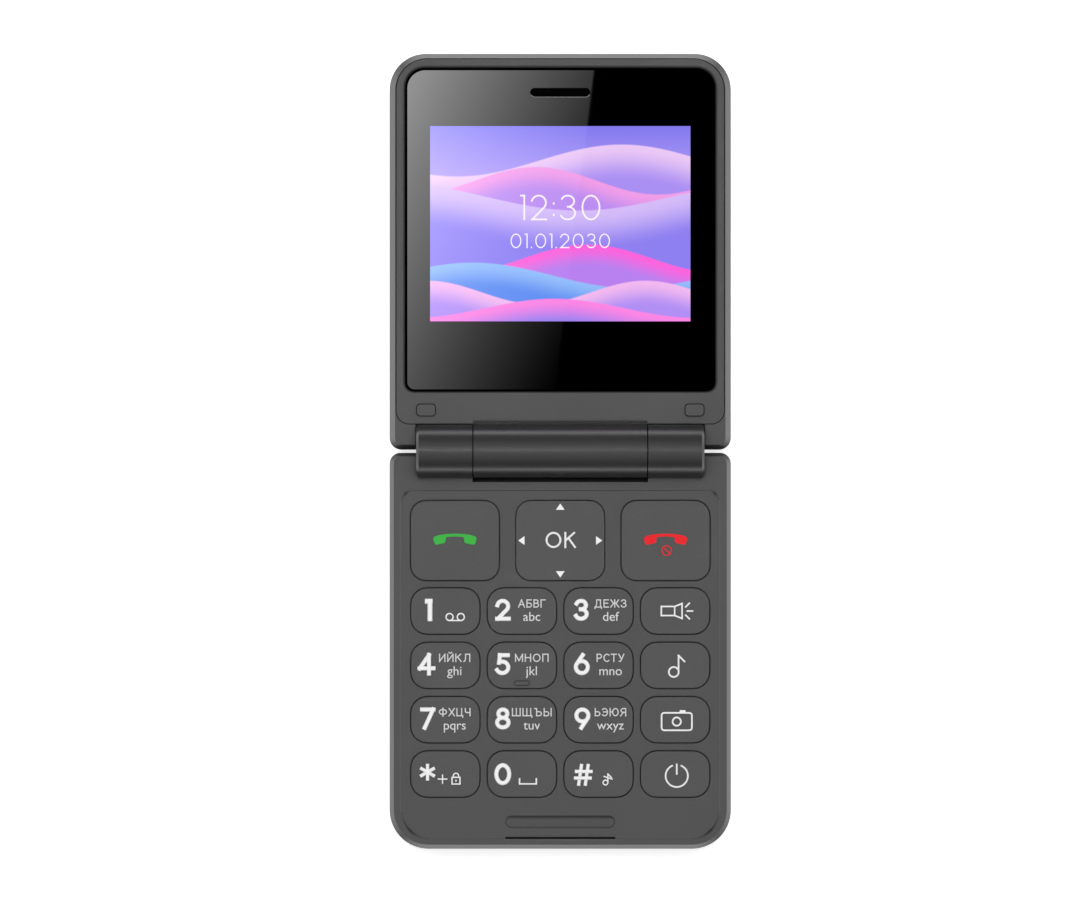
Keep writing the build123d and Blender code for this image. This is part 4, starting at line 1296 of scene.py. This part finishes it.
@dataclass
class Insides:
    """Pieces that the shells hide, each with the finish of its own material."""

    def build(self) -> None:
        """Dresses the inner nodes."""
        finishes: List[Tuple[PlainFinish, Sequence[str]]] = [
            # Glass-cloth board under green solder mask: an even satin.
            (PlainFinish("board_fr4_mask", "#0f4a2b", "#15603a", 0.35, 2.0), ("main_board", "lid_board")),
            # Stamped and turned steel: bright, streaked along the rolling.
            (PlainFinish("steel_stamped", "#9a9a98", "#b4b4b2", 0.35, 0.5, metallic=1.0, stretch=(1, 8, 1)),
             ("usb_socket", "shield_can", "base_screws", "lid_screws", "vibration_motor", "vibration_weight",
              "battery_contacts")),
            # Blackened steel: nearly black, with a soft oily sheen.
            (PlainFinish("steel_black_oxide", "#0e0e0f", "#19191b", 0.5, 0.6, metallic=0.6),
             ("hinge_cartridge", "hinge_shaft", "hinge_bush")),
            # Printed foil round the cell: smooth slate grey.
            (PlainFinish("cell_foil_wrap", "#2a2d33", "#373a41", 0.45, 4.0), ("battery",)),
            # Pressed silicone rubber: milky grey and dull.
            (PlainFinish("mat_silicone", "#8d8f92", "#999b9e", 0.6, 2.0), ("keypad_mat", "nav_nub")),
            # Polyester film: pale, a little yellow and smooth.
            (PlainFinish("dome_film_polyester", "#c9c7bd", "#dedcd2", 0.4, 2.0), ("dome_sheet",)),
            # Nickel plate on the magnet: bright and warm.
            (PlainFinish("magnet_nickel", "#a9a7a0", "#c3c1ba", 0.25, 0.8, metallic=1.0), ("lid_magnet",)),
            # Display glass with its light off: blue-black and polished.
            (PlainFinish("panel_glass_dark", "#0a0b10", "#12141b", 0.1, 6.0), ("lcd_panel",)),
            # Black polycarbonate, moulded: plain satin.
            (PlainFinish("tray_polycarbonate", "#151515", "#202020", 0.5, 1.5),
             ("lcd_backlight", "camera_module", "earpiece", "loudspeaker", "microphone", "sim_sockets",
              "nav_pad")),
        ]
        for finish, names in finishes:
            material = finish.build()
            for name in names:
                dress(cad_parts[name], material)


@dataclass
class Studio:
    """White floor and surround, soft overhead light, glare card and the camera straight above."""

    view_width_mm: float = 204.4
    face_mm: float = 10.6
    distance: float = 2.0
    sensor_mm: float = 36.0
    far_clip: float = 20.0
    aim_x_mm: float = -3.15
    aim_y_mm: float = -0.235
    floor_size: float = 8.0
    floor_drop_mm: float = 0.05
    floor_colour: str = "#ededed"
    floor_glow: float = 0.7
    overhead_power: float = 16.4
    overhead_size: Pair = (1.4, 1.0)
    overhead_place: Point = (0.5, 1.3)
    low_band: Pair = (0.08, 0.22)
    high_band: Pair = (0.66, 1.0)
    side_level: float = 2.4
    north_gain: float = 0.18
    dark_level: float = 0.15
    top_level: float = 0.76
    fill_level: float = 0.35
    card_size: float = 0.16
    card_y: float = 0.062
    card_height: float = 0.9
    glare_across: float = -0.0096
    glare_up: float = 0.0042
    glare_start: float = -0.019
    glare_power: float = 2.2
    glare_slant: float = 0.1218
    glare_edge_mm: float = -2.4
    glare_level: float = 29.0

    def build(self) -> None:
        """Sets the stage."""
        self.add_camera()
        self.add_floor()
        self.add_world()
        self.add_lamp()
        self.add_glare_card()

    def add_camera(self) -> None:
        """Adds the camera above the phone, looking straight down."""
        data = bpy.data.cameras.new("camera")
        data.sensor_width = self.sensor_mm
        data.lens = self.sensor_mm * self.distance / (self.view_width_mm * MM)
        data.clip_end = self.far_clip
        camera = bpy.data.objects.new("camera", data)
        camera.location = (self.aim_x_mm * MM, self.aim_y_mm * MM, self.face_mm * MM + self.distance)
        bpy.context.scene.collection.objects.link(camera)
        bpy.context.scene.camera = camera

    @staticmethod
    def _sheet(name: str, size: float, place: Triple) -> Object:
        """Adds a level square sheet, with its place in its mesh.

        Args:
            name: Name of the sheet.
            size: Length of its sides.
            place: Its middle.

        Returns:
            The mesh object at the origin.
        """
        bpy.ops.object.select_all(action="DESELECT")
        bpy.ops.mesh.primitive_plane_add(size=size, location=place)
        sheet = bpy.context.object
        sheet.name = name
        bpy.ops.object.transform_apply(location=True, rotation=True, scale=True)
        return sheet

    def add_floor(self) -> None:
        """Adds the floor of white paper, which is self-lit for the camera and still takes shadow."""
        floor = self._sheet("floor", self.floor_size, (0.0, 0.0, -self.floor_drop_mm * MM))
        material = bpy.data.materials.new("paper_white")
        add = Recipe(material).add
        path = add("LightPath").node.outputs
        seen = path["Is Camera Ray"]
        for ray in ("Is Glossy Ray", "Is Transmission Ray"):
            seen = add("Math ADD", seen, path[ray], use_clamp=True)
        paper = add("BsdfDiffuse", linear(self.floor_colour))
        glow = add("Emission", Strength=add("Math MULTIPLY", seen, self.floor_glow))
        add("OutputMaterial", add("AddShader", paper, glow))
        dress(floor, material)

    def add_world(self) -> None:
        """Adds the white surround: plain for the camera, banded by height for reflections."""
        world = bpy.data.worlds.new("studio")
        bpy.context.scene.world = world
        recipe = Recipe(world, "Generated")
        add, height = recipe.add, recipe.axes["Z"]
        # Four low softboxes stand at the sides, with dark corners between them; those along Y are brighter.
        lead = recipe.heading(recipe.axes)
        facing = add("Math ABSOLUTE", lead)
        gain = add("Math MULTIPLY_ADD", lead, self.north_gain, 1.0)
        facing = add("Math MULTIPLY", facing, gain)
        low = add("MapRange", height, *self.low_band, self.side_level, 0.0)
        high = add("MapRange", height, *self.high_band, self.dark_level, self.top_level)
        mirrored = add("Math MULTIPLY_ADD", low, facing, high)
        levels = (self.fill_level, mirrored, 1.0)
        surround, mirror, white = [add("Background", WHITE, level) for level in levels]
        path = add("LightPath").node.outputs
        for ray, seen in (("Is Glossy Ray", mirror), ("Is Camera Ray", white)):
            surround = add("MixShader", path[ray], surround, seen)
        add("OutputWorld", surround)

    def add_lamp(self) -> None:
        """Adds the overhead softbox, which the polished faces don't mirror."""
        data = bpy.data.lights.new("overhead", "AREA")
        data.shape = "RECTANGLE"
        data.size, data.size_y = self.overhead_size
        data.energy = self.overhead_power
        lamp = bpy.data.objects.new("overhead", data)
        behind, above = self.overhead_place
        lamp.location = (0.0, behind, above)
        lamp.rotation_euler.x = -math.atan2(behind, above)
        lamp.visible_camera = lamp.visible_glossy = False
        bpy.context.scene.collection.objects.link(lamp)

    def add_glare_card(self) -> None:
        """Adds the card that the lens mirrors: a slanted sheet of light beside black."""
        card = self._sheet("glare_card", self.card_size, (0.0, self.card_y, self.card_height))
        material = bpy.data.materials.new("glare_card_paper")
        recipe = Recipe(material)
        add = recipe.add
        # A point of the lens mirrors the card at this many times its own distance from the camera's axis.
        spread = 1 + (self.card_height - self.face_mm * MM) / self.distance
        aim = (-self.aim_x_mm * (1 - spread), -self.aim_y_mm * (1 - spread), 0.0)
        local = add("Mapping", recipe.place, Location=aim, Scale=(1 / MM, 1 / MM, 1.0))
        axes = add("SeparateXYZ", local).node.outputs
        across, up = [add("Math DIVIDE", axes[axis], spread) for axis in "XY"]
        fall = add("Math MULTIPLY_ADD", across, self.glare_across, self.glare_start)
        tone = add("Math MULTIPLY_ADD", up, self.glare_up, fall)
        tone = add("Math MAXIMUM", tone, 0.0)
        tone = add("Math POWER", tone, self.glare_power)
        edge = add("Math MULTIPLY_ADD", up, self.glare_slant, self.glare_edge_mm)
        strength = add("Math LESS_THAN", across, edge)
        for share in (tone, self.glare_level):
            strength = add("Math MULTIPLY", strength, share)
        add("OutputMaterial", add("Emission", Strength=strength))
        dress(card, material)
        card.visible_camera = card.visible_diffuse = False
        card.visible_shadow = card.visible_transmission = False


def main() -> None:
    """Builds the phone's looks and the studio, in order."""
    logging.basicConfig(level=logging.INFO, format="%(message)s")
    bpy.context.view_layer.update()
    bpy.context.scene.view_settings.view_transform = "Standard"
    for part in (Insides(), Base(), Lid(), Keypad(), Studio()):
        part.build()
        LOG.info("%s done", type(part).__name__)


if __name__ == "__main__":
    main()
